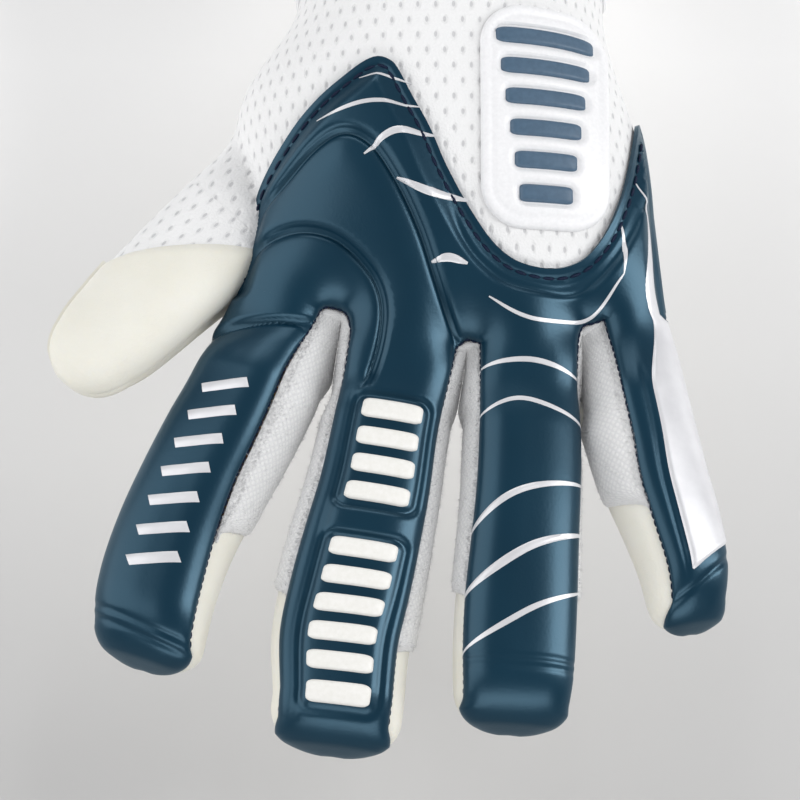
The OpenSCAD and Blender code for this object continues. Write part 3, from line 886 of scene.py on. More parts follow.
for name, finger in FINGERS.items():
    for part, start, _ in stretches(finger):
        halves, lengths = [], []
        for side in (-1, 1):
            stop = float(gusset_end(finger, side)) + 1.2 if part == "tip" else finger["split"]
            s, v = np.meshgrid(np.linspace(start, stop, int((stop - start) / 0.6)), np.linspace(0, 1, 30),
                               indexing="ij")
            strip = grid_piece(f"{name}_towelling_{part}", forked_strip(finger, s, v, side))
            lay_flat(strip, (v * 14).ravel() + 40 * side, s.ravel())
            wall(strip, 0.9, (*(finger["across"] * side), 0))
            pile = fuzz("fibres", lambda s, v: forked_strip(finger, s, v, side),
                        lambda s: heart(finger, s), start, stop, int((stop - start) * 26), 1.15)
            blank = np.zeros(len(pile.data.vertices))
            lay_flat(pile, blank, blank)
            halves += [strip, pile]
            lengths.append((stop - start) * 0.001)
        strips = join(halves, f"{name}_towelling_{part}")
        give(strips, towel_skin, None, "towelling", f"{name}_gussets_{part}")
        bend_with(strips, finger, part)

WEB_STEPS = 26
webs = []
for line, left, right in zip(CROTCHES, NAMES, NAMES[1:]):
    path = even(line, 0.3)
    count = len(path)
    share = np.linspace(0, 1, count)
    back = np.column_stack([path + np.array([0, 0.5]), panel_height(path) - 0.9])
    front = np.where((share < 0.5)[:, None],
                     forked_strip(FINGERS[left], 0 * share, 0.72 * np.clip(2 * share, 0, 1), 1),
                     forked_strip(FINGERS[right], 0 * share, 0.72 * np.clip(2 - 2 * share, 0, 1), -1))
    v = np.linspace(0, 1, WEB_STEPS)[None, :, None]
    over = np.clip(v / 0.4, 0, 1)
    points = back[:, None] * (1 - over) + front[:, None] * over
    points[..., 2] += 0.9 * np.sin(math.pi * over[..., 0]) * np.sin(math.pi * share)[:, None] ** 0.5
    points[..., 2] += (PALM_THICK - 1.0 - points[..., 2]) * np.clip((v[..., 0] - 0.4) / 0.6, 0, 1)
    web = grid_piece("fork_web", points)
    v = np.broadcast_to(v[..., 0], (count, WEB_STEPS))
    lay_flat(web, (v * 16).ravel(), np.repeat(share * count * 0.3, WEB_STEPS))
    wall(web, 0.9, (0, -1, 0.5))
    webs.append(web)
forks = join(webs, "fork_webs")
give(forks, towel_skin, "hand", "towelling", "crotch_gussets")


# Back panel: blue coated fabric moulded over foam in a hot press, with soft channels between its
# pads. It is sewn to the mesh along a flat margin and runs on over all four fingers.
BACK_EDGE = track([
    corner("index", -1), (-43.0, -26.0), (-41.4, -18.5), (-40.6, -13.6), (-39.4, -9.6), (-37.2, -5.6),
    (-34.2, -1.4), (-30.2, 3.6), (-25.7, 8.1), (-21.2, 11.7), (-16.4, 15.2), (-13.0, 16.5), (-10.2, 15.5),
    (-8.4, 13.4), (-5.3, 7.1), (-1.4, -0.2), (2.4, -9.0), (7.6, -18.2), (13.0, -25.4), (18.6, -29.2),
    (26.0, -30.2), (32.2, -28.2), (36.2, -24.2), (38.9, -19.6), (40.8, -15.0), (42.4, -10.0), (44.0, -3.0),
    (45.2, 4.0), (46.0, 9.4), (46.7, 7.5), (47.7, 0.0), (48.5, -8.0), (49.1, -16.0), (49.8, -24.0),
    (50.6, -31.0), corner("little", 1)], 12)
CHANNELS = [track(points) for points in (
    [(-44.6, -21.4), (-34.0, -11.6), (-26.6, -4.2), (-20.4, -1.2), (-14.4, -4.2), (-8.8, -12.6),
     (-4.0, -22.6), (-0.8, -32.0), (2.0, -40.6), (4.8, -47.4)],
    [(-45.6, -30.0), (-41.4, -26.0), (-35.0, -22.6), (-29.0, -22.0), (-23.0, -23.8), (-18.0, -27.4),
     (-13.6, -32.6), (-11.8, -38.6), (-12.6, -46.0), (-15.8, -58.0)],
    [(-51.0, -46.6), (-44.5, -44.0), (-37.9, -42.5), (-32.4, -42.4), (-25.4, -43.6)])]
RIM = track([(1.6, -15.4), (5.2, -23.6), (9.6, -29.4), (16.4, -33.9), (26.2, -35.4), (34.0, -32.9),
             (39.4, -27.6), (43.0, -21.4), (45.4, -14.6)])


def back_profile(d):
    return 0.7 + 2.3 * ramp(d, 1.9, 6.5) - 0.35 * np.exp(-(((d - 2.1) / 0.5) ** 2))


def side_profile(d):
    return 0.2 + 2.8 * np.sqrt(1 - (1 - np.clip(d / 6.5, 0, 1)) ** 2.2)


def signed(points, line):
    """Distance from a line drawn from left to right, more than nothing on its finger side."""
    flat = np.asarray(points, float).reshape(-1, 2)
    best, sign = np.full(len(flat), 1e9), np.ones(len(flat))
    for a, b in zip(line[:-1], line[1:]):
        ab, ap = b - a, flat - a
        t = np.clip(ap @ ab / max(ab @ ab, 1e-12), 0, 1)
        away = np.hypot(*(ap - t[:, None] * ab).T)
        closer = away < best
        best = np.where(closer, away, best)
        sign = np.where(closer, np.where(ab[0] * ap[:, 1] - ab[1] * ap[:, 0] > 0, -1.0, 1.0), sign)
    return (best * sign).reshape(np.shape(points)[:-1])


def channel(d, deep=1.9, wide=2.8, fine=1.0):
    """A pressed channel: a slope on the wrist side, fine lines below, a full edge on the finger side."""
    slope = -deep * (1 - ramp(-d, 0.2, wide))
    past = np.clip(d, 0, None)
    edge = -deep * (0.62 * np.exp(-past / 0.5) + 0.38 * np.exp(-((past / 3.6) ** 2)))
    lines = 0.22 * np.exp(-(((d + 0.75) / 0.3) ** 2)) + 0.16 * np.exp(-(((d + 1.7) / 0.3) ** 2))
    return np.where(d < 0, slope, edge) + fine * lines


def groove(d, deep, wide):
    return -deep * np.exp(-((np.abs(d) / wide) ** 1.5)) + 0.3 * deep * np.exp(-((d / 0.45) ** 2))


def crease(d, deep=0.45):
    return -deep * (np.exp(-(((d - 0.95) / 0.6) ** 2)) + np.exp(-(((d + 0.95) / 0.6) ** 2)))


def steep(flat):
    """How much longer the panel's cloth is than its plan, where it falls over the side of the hand."""
    rise = (panel_height(flat + [0.3, 0]) - panel_height(flat - [0.3, 0])) / 0.6
    return np.clip(np.sqrt(1 + rise**2), 1, 4)


def relief(flat, d_side, press=1.0):
    h = np.minimum(side_profile(d_side), back_profile(near(flat, BACK_EDGE) * steep(flat)))
    low = np.minimum(h, 0.75)
    for line in CHANNELS:
        h = h + press * channel(signed(flat, line))
    fade = ramp(np.hypot(flat[..., 0] - RIM[0, 0], flat[..., 1] - RIM[0, 1]), 0, 11)
    h = h + press * fade * channel(signed(flat, RIM), 1.0, 2.0, 0.0)
    # A channel runs out on to the flat margin and never below it
    return low + ((h - low) + np.sqrt((h - low) ** 2 + 0.09)) / 2


PANEL_ROWS = [0.0, 0.2, 0.45, 0.75, 1.05, 1.4, 1.75, 2.1, 2.6]
panel_outline = np.vstack([even(BACK_EDGE, 0.9)[1:-1], FRONT[::-1]])


def lifted(height, flat, lift, gap=0.3):
    """Points at a height over the plan, moved out along that surface's normal."""
    z = height(flat)
    dx, dy = [(height(flat + step) - height(flat - step)) / (2 * gap)
              for step in (np.array([gap, 0]), np.array([0, gap]))]
    n = unit(np.stack([-dx, -dy, np.ones_like(z)], axis=-1))
    return np.concatenate([flat, z[..., None]], axis=-1) + n * np.asarray(lift)[..., None]


def panel_lift(flat, lift=0.0):
    return lifted(panel_height, flat, relief(flat, near(flat, *CROTCHES, *FINGER_SIDES)) + lift)


panel = plan_sheet("backhand_pad", panel_outline, [BACK_EDGE] + CROTCHES + CHANNELS + [RIM], 0.75, PANEL_ROWS,
                   panel_lift)
flat = points_of(panel)[:, :2]
wall(panel, 2.4, (0, 0, 1), 0.46 + 0.54 * ramp(near(flat, BACK_EDGE) * steep(flat), 1.8, 7.0))
blue_skin = grain_finish("blue_coated_foam", (0.0035, 0.029, 0.055), 0.32, (0.0030, 0.0265, 0.051),
                         (0.0040, 0.0315, 0.059), (45, 3), (1500, 4), 0.12,
                         sockets={"Metallic": 0.3, "Specular IOR Level": 0.65,
                                  "Specular Tint": (0.62, 0.88, 1.0, 1)})
give(panel, blue_skin, "hand", "backhand_foam", "backhand_panel")


# Finger backs: the same moulded foam, which folds down over each fingertip as a cap. A pressed
# double crease lies across the tip, and two run down the middle finger.
def pad_place(finger):
    def place(s, u):
        base = tube(finger, s, u * pad_reach(finger, s) + finger["turn"])
        a = finger["middle"] + u * finger["half"]
        hand = np.concatenate([plan(finger, s, a), root_height(finger, s, a)[..., None]], axis=-1)
        w = ramp(s, 0, 20)[..., None]
        return hand * (1 - w) + base * w
    return place


RIB_SHIFT = 0.8
RIB_FRAMES = ((15.2, 41.0), (47.2, 86.0))


def pad_relief(finger, s, u):
    name, half, length = finger["name"], finger["half"], finger["end"]
    flat = plan(finger, s, finger["middle"] + u * half)
    h = relief(flat, (1 - np.abs(u)) * half, 1 - ramp(s, 9, 15) if name == "middle" else 1.0)
    full = ramp(h, 0.6, 2.2)
    fade = full * (1 - ramp(s, length - 9, length - 3))
    if name == "index":
        across = 1 - ramp(np.abs(u), 0.72, 0.98)
        h = h + full * across * crease(s - (length - 6.0) - 0.13 * u * half)
    elif name == "middle":
        h = h + fade * ramp(s, 10, 18) * groove((u + 0.66) * half, 0.9, 1.2)
        for low, high in RIB_FRAMES:
            beside = np.maximum(np.abs(u * half - RIB_SHIFT) - 5.2, 0)
            beyond = np.maximum(np.abs(s - (low + high) / 2) - (high - low) / 2 + 2.4, 0)
            d = np.hypot(beside, beyond) - 2.4
            h = h - 0.8 * fade * np.exp(-((d / 0.8) ** 2)) - 0.25 * fade * ramp(-d, 0, 1.2)
    elif name == "ring":
        h = h + full * crease(s - (length - 12.0), 0.25)
    else:
        h = h - 0.5 * full * np.exp(-(((s - 62.4 + 4.1 * u) / 0.8) ** 2))
        along = ramp(s, 12, 20) * (1 - ramp(s, 56, 64))
        h = h - 0.4 * fade * along * np.exp(-(((u + 0.54) * half / 0.6) ** 2))
    end = ramp(s, length - 1.8, length)
    return h * (1 - 0.35 * ramp(s, length - 12, length)) * (1 - end) + 1.2 * end


def pad_skin(finger, s, u, lift=0.0):
    return skin(pad_place(finger), s, u, pad_relief(finger, s, u) + lift)


for name, finger in FINGERS.items():
    for part, start, stop in stretches(finger):
        s, u = np.meshgrid(finger_rows(finger, start, stop, 0.42), ROOT_STEPS, indexing="ij")
        points = pad_skin(finger, s, u)
        if part == "tip":
            points[-1] = nose(finger, 1.1)
        pad = grid_piece(f"{name}_back_{part}", points)
        weld(pad)
        wall(pad, 2.0, (0, 0, 1))
        give(pad, blue_skin, None, "backhand_foam", f"{name}_pad_{part}")
        bend_with(pad, finger, part)


# Edge thread: dark navy thread in small even stitches along both edges of every finger pad, and a
# row of longer stitches round the panel's flat margin.
bpy.ops.mesh.primitive_uv_sphere_add(segments=8, ring_count=5, radius=0.5)
stitch = bpy.context.object
STITCH_POINTS = np.array([v.co for v in stitch.data.vertices])
STITCH_FACES = [tuple(face.vertices) for face in stitch.data.polygons]
bpy.data.objects.remove(stitch)


def stitches(name, spots, ways, ups, size):
    """One small rounded stitch at each spot: size is its length, width and height."""
    ways = unit(ways)
    sides = unit(np.cross(ups, ways))
    ups = np.cross(ways, sides)
    p = STITCH_POINTS * np.array(size)
    points = (spots[:, None] + ways[:, None] * p[None, :, :1] + sides[:, None] * p[None, :, 1:2]
              + ups[:, None] * p[None, :, 2:])
    faces = [tuple(i + k * len(p) for i in face) for k in range(len(spots)) for face in STITCH_FACES]
    return mesh_piece(name, points.reshape(-1, 3), faces)


def thread_finish(name, colour, low, high, sockets=()):
    material, nodes, links, shader = finish_nodes(name, colour, 0.6, sockets)
    twist = mapped(nodes, links, "ShaderNodeTexWave", Scale=1400, Distortion=1.0, bands_direction="DIAGONAL")
    tint(nodes, links, shader, twist.outputs["Fac"], low, high)
    raise_grain(nodes, links, shader, twist.outputs["Fac"], 0.4, 0.0002)
    return material


def sew(name, lines, ups, size, material, body):
    """A row of stitches along each line of points, as one piece."""
    ways = [np.gradient(line, axis=0) for line in lines]
    row = stitches(name, np.vstack(lines), np.vstack(ways), np.vstack(ups), size)
    give(row, material, body, "navy_webbing", smooth=80)
    return row


thread_skin = thread_finish("navy_thread", (0.006, 0.011, 0.026), (0.002, 0.006, 0.022), (0.005, 0.014, 0.045),
                            {"Specular IOR Level": 0.2})
for name, finger in FINGERS.items():
    for part, start, stop in (("base", 0.4, finger["split"]), ("tip", finger["split"], finger["end"] - 5.0)):
        s = np.arange(start + 0.6, stop, 1.75)
        lines = [pad_skin(finger, s, np.full_like(s, side)) for side in (-1.0, 1.0)]
        ups = [unit(line - heart(finger, s)) for line in lines]
        row = sew(f"{name}_edge_thread_{part}", lines, ups, (1.65, 0.6, 0.55), thread_skin, None)
        bend_with(row, finger, part)
margin = even(BACK_EDGE, 0.4)
way = unit(np.gradient(margin, axis=0))
inset = 2.1 / steep(margin)
margin = margin + inset[:, None] * np.stack([way[:, 1], -way[:, 0]], axis=1)
spike = np.argmin(np.hypot(*(margin - [46.0, 9.4]).T))
margin = even(margin[:spike][near(margin[:spike], BACK_EDGE) > 0.9 * inset[:spike]], 3.1)[1:-1]
line = panel_lift(margin, 0.1)
sew("panel_margin_thread", [line], [panel_lift(margin, 1.1) - line], (2.85, 0.8, 0.75), thread_skin, "hand")
fork = [panel_lift(even(line, 1.6)) for line in CROTCHES]
sew("fork_thread", fork, [np.tile([0, -0.5, 0.8], (len(line), 1)) for line in fork], (1.7, 0.75, 0.75),
    thread_skin, "hand")


# Punch ribs: soft cream rubber bars moulded on to the middle finger's back, each in a pressed frame.
# The lower group lies on both stretches of the finger, so it is two pieces.
rib_skin = grain_finish("punch_rubber", (0.84, 0.83, 0.79), 0.5, (0.73, 0.72, 0.68), (0.78, 0.77, 0.74),
                        (900, 3), (900, 3), 0.15)
RIB_SPLIT = 26


def bunched(count):
    """Steps from -1 to 1 that lie closer together at both ends."""
    return np.sin(np.linspace(-math.pi / 2, math.pi / 2, count))


def bar_grid(name, place, half_x, half_y, high, columns=31, rows=15):
    """A bar with rounded corners and edges on any surface; place(x, y, lift) puts its points."""
    y, x = np.meshgrid(bunched(rows), bunched(columns), indexing="ij")
    lift = (high + 0.3) * ((1 - np.abs(x) ** 12) * (1 - np.abs(y) ** 7)) ** 0.4 - 0.3
    px = half_x * x * (1 - 0.10 * np.abs(y) ** 8)
    py = half_y * y * (1 - 0.16 * np.abs(x) ** 14)
    return grid_piece(name, place(px, py, lift))


middle = FINGERS["middle"]
for part, places in (("base", [18.5, 24.9, 31.3, 37.7]), ("tip", [50.5, 56.9, 63.3, 69.7, 76.1, 82.5])):
    for body_part in ("base", "tip"):
        bars = []
        for centre in places:
            if (centre < RIB_SPLIT) != (body_part == "base"):
                continue
            bar = bar_grid("punch_rib", lambda x, y, lift: pad_skin(
                middle, centre + y, (x + RIB_SHIFT) / middle["half"], lift), 6.2, 2.1, 1.1)
            wall(bar, 0.7, (0, 0, 1))
            bars.append(bar)
        if not bars:
            continue
        ribs = join(bars, f"punch_ribs_{part}_{body_part}")
        node = [f"middle_ribs_{part}"] if part == body_part else []
        give(ribs, rib_skin, None, "punch_rubber", *node, smooth=50)
        bend_with(ribs, middle, body_part)


# Silver film: a heat-pressed film down the outside of the little finger, thin tapered strokes of the
# same film across the panel and the ring finger, and short dashes down the index finger.
silver_skin = grain_finish("silver_film", (0.66, 0.66, 0.68), 0.38, (0.60, 0.60, 0.62), (0.71, 0.71, 0.73),
                           (120, 4), (2200, 3), 0.12, sockets={"Metallic": 0.25})
little = FINGERS["little"]
FILM = (-0.43, 0.92)


def film_grid(name, low, high, closed):
    """A stretch of film on the little finger's pad; closed gives it a slanting end."""
    rows = int((high - low) / 0.7)
    share, c = np.meshgrid(np.linspace(0, 1, rows), np.linspace(0, 1, 25), indexing="ij")
    s = low + (high - low) * share - (5.5 * (c - 0.5) * share if closed else 0)
    taper = ramp(s, 1.0, 20.0)
    u = FILM[0] + (1 - taper) * 0.7 + (FILM[1] - FILM[0] - (1 - taper) * 0.75) * c
    edge = np.minimum(c, 1 - c) * 9
    if closed:
        edge = np.minimum(edge, (1 - share) * (high - low))
    lift = -0.25 + (0.4 + 0.35 * ramp(s, 2, 12)) * np.sqrt(1 - (1 - np.clip(edge / 0.9, 0, 1)) ** 2)
    return grid_piece(name, pad_skin(little, s, u, lift))


for part, low, high in (("base", 0.6, 22.5), ("tip", 22.5, 58.6)):
    film = film_grid(f"little_film_{part}", low, high, part == "tip")
    wall(film, 0.5, (*little["across"], 1))
    give(film, silver_skin, None, "silver_film", f"little_flash_{part}", smooth=50)
    bend_with(film, little, part)


def stroke(place, path, wide, ends=(0.06, 0.94, 0.8)):
    """A thin tapered stroke on a surface; path is in the surface's own two lengths."""
    line = even(track(path, 10), 0.8)
    way = unit(np.gradient(line, axis=0))
    across = np.stack([-way[:, 1], way[:, 0]], axis=1)
    share = np.linspace(0, 1, len(line))
    swell = np.sin(math.pi * (ends[0] + (ends[1] - ends[0]) * share)) ** ends[2]
    half = wide / 2 * np.clip(swell, 0.05, 1)
    offsets = np.array([-1, -0.8, 0, 0.8, 1])
    flat = line[:, None] + across[:, None] * (half[:, None] * offsets)[..., None]
    lift = np.tile([-0.1, 0.1, 0.12, 0.1, -0.1], (len(line), 1))
    mark = grid_piece("silver_stroke", place(flat, lift))
    wall(mark, 0.25, (0, 0, 1))
    return mark


def mark_finger(finger, name, part, strokes):
    """Strokes on a finger's pad, as one piece; each is a path, a width and how its ends taper."""
    def place(flat, lift):
        return pad_skin(finger, flat[..., 0], flat[..., 1] / finger["half"], lift)

    marks = join([stroke(place, *one) for one in strokes], f"{name}_{part}")
    give(marks, silver_skin, None, "silver_film", smooth=50)
    bend_with(marks, finger, part)


PANEL_STROKES = [
    ([(-17.0, 11.4), (-12.0, 11.9), (-5.4, 9.6)], 0.7),
    ([(-26.0, 2.2), (-15.0, 5.4), (-3.6, 4.2)], 1.1),
    ([(-15.6, -6.2), (-9.0, -1.4), (-0.2, -2.4)], 1.8),
    ([(-8.6, -11.6), (-1.6, -14.6), (7.2, -16.6)], 2.0),
    ([(-1.0, -29.4), (2.8, -28.4), (7.0, -29.6)], 2.0),
    ([(12.0, -36.0), (22.0, -41.4), (34.6, -39.0), (41.0, -30.0)], 1.2),
    ([(41.0, -30.0), (41.5, -24.0), (41.2, -19.0)], 0.8),
    ([(49.1, -40.6), (47.7, -36.4), (46.8, -31.6), (47.0, -24.0), (46.6, -17.0), (44.4, -8.0)], 3.8,
     (0.5, 0.97, 2.2)),
]
marks = join([stroke(panel_lift, *one) for one in PANEL_STROKES], "panel_strokes")
give(marks, silver_skin, "hand", "silver_film", smooth=50)
RING_STROKES = {
    "base": [([(7.0, -11.0), (4.6, 0.0), (8.0, 11.4)], 1.5),
             ([(18.6, -11.2), (14.8, -2.0), (19.4, 11.4)], 1.2)],
    "tip": [([(46.0, -11.2), (36.0, -3.0), (32.0, 11.0)], 1.6),
            ([(60.0, -11.2), (49.0, -1.0), (43.0, 11.0)], 2.0),
            ([(72.0, -10.6), (62.0, 1.0), (56.0, 11.0)], 1.4)],
}
for part, strokes in RING_STROKES.items():
    mark_finger(FINGERS["ring"], "ring_strokes", part, strokes)
for part, places in (("base", [25.0]), ("tip", [32.0, 39.0, 46.0, 53.0, 60.0, 67.0])):
    dashes = [([(s + 2.0, -2.8), (s, 1.2), (s - 2.0, 5.2)], 2.6, (0.4, 0.6, 0.2)) for s in places]
    mark_finger(FINGERS["index"], "index_dashes", part, dashes)


# Vent plate: a smooth white plate welded on to the mesh over the back of the hand, with six blue bars
# let into it.
VENT_MIDDLE = np.array([24.5, 4.0])
VENT_HALF = np.array([14.5, 26.0])
VENT_ROUND = 9.6
BAR_PITCH = 7.333
BAR_HALF = 2.0
BARS = [(VENT_MIDDLE + np.array([0, (i - 2.5) * BAR_PITCH]), VENT_HALF[0] * (0.42 + 0.07 * i))
        for i in range(6)]


def round_box(p, half, r):
    """Distance outside a rounded box in plan."""
    q = np.abs(p) - np.array(half) + r
    return np.hypot(*np.maximum(q, 0).T).T + np.minimum(np.max(q, axis=-1), 0) - r


angles = np.linspace(0, 2 * math.pi, 160, endpoint=False)
ring = np.stack([np.cos(angles), np.sin(angles)], axis=1)
corners = np.sign(ring) * (VENT_HALF - VENT_ROUND) + VENT_ROUND * ring
vent_outline = even(np.vstack([corners, corners[:1]]), 0.8)[:-1] + VENT_MIDDLE


def vent_lift(flat):
    edge = -round_box(flat - VENT_MIDDLE, VENT_HALF, VENT_ROUND)
    lift = 0.1 + 1.2 * np.sqrt(1 - (1 - np.clip(edge / 1.3, 0, 1)) ** 2)
    lift = lift - 0.3 * np.exp(-(((edge - 2.6) / 0.5) ** 2))
    for spot, half in BARS:
        d = round_box(flat - spot, (half + 0.7, BAR_HALF + 0.7), 2.2)
        lift = lift - 0.75 * ramp(-d, -0.3, 0.35)
    return lifted(arch_height, flat, lift)


plate = plan_sheet("vent_plate_skin", vent_outline, [np.vstack([vent_outline, vent_outline[:1]])], 0.6,
                   [0.12, 0.35, 0.7], vent_lift)
wall(plate, 1.2, (0, 0, 1))
plate_skin = grain_finish("vent_plate_white", (0.83, 0.83, 0.84), 0.45, (0.74, 0.74, 0.75), (0.79, 0.79, 0.80),
                          (1200, 3), (1200, 3), 0.12)
give(plate, plate_skin, "hand", "vent_plate", "vent_plate", smooth=50)
bars = []
for spot, half in BARS:
    bar = bar_grid("vent_bar", lambda x, y, lift: lifted(
        arch_height, np.stack([spot[0] + x, spot[1] + y], axis=-1), lift), half, BAR_HALF, 1.35, 41, 15)
    wall(bar, 0.8, (0, 0, 1))
    bars.append(bar)
bars = join(bars, "vent_bars")
bar_skin = grain_finish("vent_bar_blue", (0.055, 0.105, 0.165), 0.5, (0.048, 0.094, 0.150),
                        (0.062, 0.116, 0.180), (900, 3), (900, 3), 0.12)
give(bars, bar_skin, "hand", "backhand_foam", "vent_inlay", smooth=50)


# Cuff: a ribbed knit tube sewn into the wrist, with a navy binding rolled over its open end.
CUFF_MIDDLE = np.array([4.0, 20.45])
CUFF_POWER = 3.2


def cuff_ring(turn, grow):
    """A point on the cuff's section, grown outwards; turn is in radians from the top."""
    x = np.sign(np.sin(turn)) * np.abs(np.sin(turn)) ** (2 / CUFF_POWER)
    z = np.sign(np.cos(turn)) * np.abs(np.cos(turn)) ** (2 / CUFF_POWER)
    return CUFF_MIDDLE[0] + (35.0 + grow) * x, CUFF_MIDDLE[1] + (18.0 + grow) * z


dense = np.linspace(0, 2 * math.pi, 4001)
cx, cz = cuff_ring(dense, 0.0)
cuff_walk = np.concatenate([[0], np.cumsum(np.hypot(np.diff(cx), np.diff(cz)))])
CUFF_ROUND = cuff_walk[-1]


def cuff_turn(length):
    return np.interp(length, cuff_walk, dense)


CUFF_RIBS = 72
y, t = np.meshgrid(np.linspace(41.5, 112.0, 62), np.linspace(0, 1, CUFF_RIBS * 6 + 1), indexing="ij")
pull = -1.6 * (1 - ramp(y, 42, 52)) - 0.7 * np.exp(-(((y - 74) / 16) ** 6))
knit = 0.35 * np.cos(2 * math.pi * CUFF_RIBS * t) + 0.12 * np.cos(2 * math.pi * y / 2.2)
x, z = cuff_ring(cuff_turn(t * CUFF_ROUND), pull + knit - 0.35)
cuff = grid_piece("cuff_knit_tube", np.stack([x, y, z], axis=-1))
lay_flat(cuff, (t * CUFF_ROUND).ravel(), y.ravel())
turn_out(cuff)
wall(cuff, 2.0)
cuff_skin, nodes, links, shader = finish_nodes("cuff_knit", (0.82, 0.82, 0.83), 0.85, {"Sheen Weight": 0.3})
rows = mapped(nodes, links, "ShaderNodeTexWave", True, Scale=0.32, Distortion=0.6, bands_direction="Y")
tint(nodes, links, shader, rows.outputs["Fac"], (0.74, 0.74, 0.75), (0.84, 0.84, 0.85))
raise_grain(nodes, links, shader, rows.outputs["Fac"], 0.5, 0.0003)
give(cuff, cuff_skin, "hand", "cuff_knit", "cuff")

SEAM_STEPS = 301
WRIST_TOP = 37.5
turn = np.linspace(0, 2 * math.pi, SEAM_STEPS)
left, right = hand_side(np.array(44.0))


def wrist_loop(grow):
    """The outline of the glove's wrist end, where the mesh and the palm stop."""
    x, z = [np.sign(f(turn)) * np.abs(f(turn)) ** (2 / ARCH_POWER) for f in (np.sin, np.cos)]
    high = np.where(z > 0, WRIST_TOP - SIDE_SEAM, SIDE_SEAM)
    return np.stack([(left + right) / 2 + ((right - left) / 2 + grow) * x,
                     np.maximum(SIDE_SEAM + (high + grow) * z, 0.02)], axis=-1)


def cuff_loop(grow):
    return np.stack(cuff_ring(turn, grow), axis=-1)


loops = [np.column_stack([ring[:, 0], np.full(SEAM_STEPS, y), ring[:, 1]]) for ring, y in (
    (wrist_loop(-0.8), 42.0), (wrist_loop(0.7), 42.4), (wrist_loop(1.1), 44.2),
    (0.5 * wrist_loop(1.0) + 0.5 * cuff_loop(1.2), 46.4), (cuff_loop(0.3), 47.8), (cuff_loop(-1.8), 47.6))]
profile = np.stack([track(np.stack([loop[k] for loop in loops]), 5) for k in range(SEAM_STEPS)])
seam = grid_piece("wrist_seam_binding", profile)
across = profile.shape[1]
lay_flat(seam, np.repeat(np.linspace(0, CUFF_ROUND, SEAM_STEPS), across),
         np.tile(np.linspace(0, 8, across), SEAM_STEPS))
turn_out(seam)
wall(seam, 0.6)
give(seam, cuff_skin, "hand", "cuff_knit")

webbing_skin, nodes, links, shader = finish_nodes("navy_webbing", (0.010, 0.030, 0.055), 0.7,
                                                  {"Sheen Weight": 0.2})
weave = mapped(nodes, links, "ShaderNodeTexBrick", True, Scale=1.0, Color1=(1, 1, 1, 1),
               Color2=(0.75, 0.75, 0.75, 1), Mortar=(0, 0, 0, 1),
               **{"Mortar Size": 0.09, "Mortar Smooth": 0.8, "Brick Width": 1.5, "Row Height": 0.55})
tint(nodes, links, shader, weave.outputs["Color"], (0.005, 0.015, 0.030), (0.014, 0.042, 0.072), 0.1, 0.9)
raise_grain(nodes, links, shader, weave.outputs["Color"], 0.6, 0.0003)
BINDING_AT, BINDING_IN = 114.1, -1.3
BINDING_HALF, BINDING_THICK = 2.2, 2.3
t, a = np.meshgrid(np.linspace(0, 1, 221), np.linspace(0, 2 * math.pi, 25), indexing="ij")
x, z = cuff_ring(cuff_turn(t * CUFF_ROUND), BINDING_IN + BINDING_THICK * np.cos(a))
binding = grid_piece("cuff_rolled_binding", np.stack([x, BINDING_AT + BINDING_HALF * np.sin(a), z], axis=-1))
lay_flat(binding, (t * CUFF_ROUND).ravel(), (a * (BINDING_HALF + BINDING_THICK) / 2).ravel())
turn_out(binding)
give(binding, webbing_skin, "hand", "navy_webbing", "cuff_binding")


# Wrist strap: flat navy webbing once round the cuff, folded and sewn down in a block on top, with a
# pile patch on its upper run.
STRAP_AT = 74
STRAP_HALF = 18
y, t = np.meshgrid(np.linspace(-STRAP_HALF, STRAP_HALF, 41), np.linspace(0, 1, 301), indexing="ij")
edge = STRAP_HALF - np.abs(y)
lift = 2.45 - 0.7 * (1 - np.clip(edge / 1.0, 0, 1)) ** 2 - 0.12 * np.exp(-(((edge - 3.0) / 0.4) ** 2))
x, z = cuff_ring(cuff_turn(t * CUFF_ROUND), lift)
strap = grid_piece("wrist_strap_band", np.stack([x, STRAP_AT + y, np.maximum(z, 0.02)], axis=-1))
lay_flat(strap, (t * CUFF_ROUND).ravel(), y.ravel())
turn_out(strap)
wall(strap, 1.9)


def slab(name, low, high, edge, rows=(41, 41)):
    """A flat soft plate with rounded rim between two corners."""
    low, high = np.array(low, float), np.array(high, float)
    middle, half = (low + high) / 2, (high - low) / 2
    fy, fx = np.meshgrid(bunched(rows[0]), bunched(rows[1]), indexing="ij")
    x = middle[0] + half[0] * fx * (1 - 0.02 * np.abs(fy) ** 20)
    y = middle[1] + half[1] * fy * (1 - 0.02 * np.abs(fx) ** 20)
    away = np.minimum(half[0] * (1 - np.abs(fx)), half[1] * (1 - np.abs(fy)))
    crown = np.sqrt(1 - (1 - np.clip(away / edge, 0, 1)) ** 2)
    parts = []
    for sign in (1, -1):
        side = grid_piece(name, np.stack([x, y, middle[2] + sign * half[2] * crown], axis=-1))
        lay_flat(side, x.ravel(), y.ravel())
        face_out(side, (0, 0, sign))
        parts.append(side)
    piece = join(parts, name)
    weld(piece)
    return piece


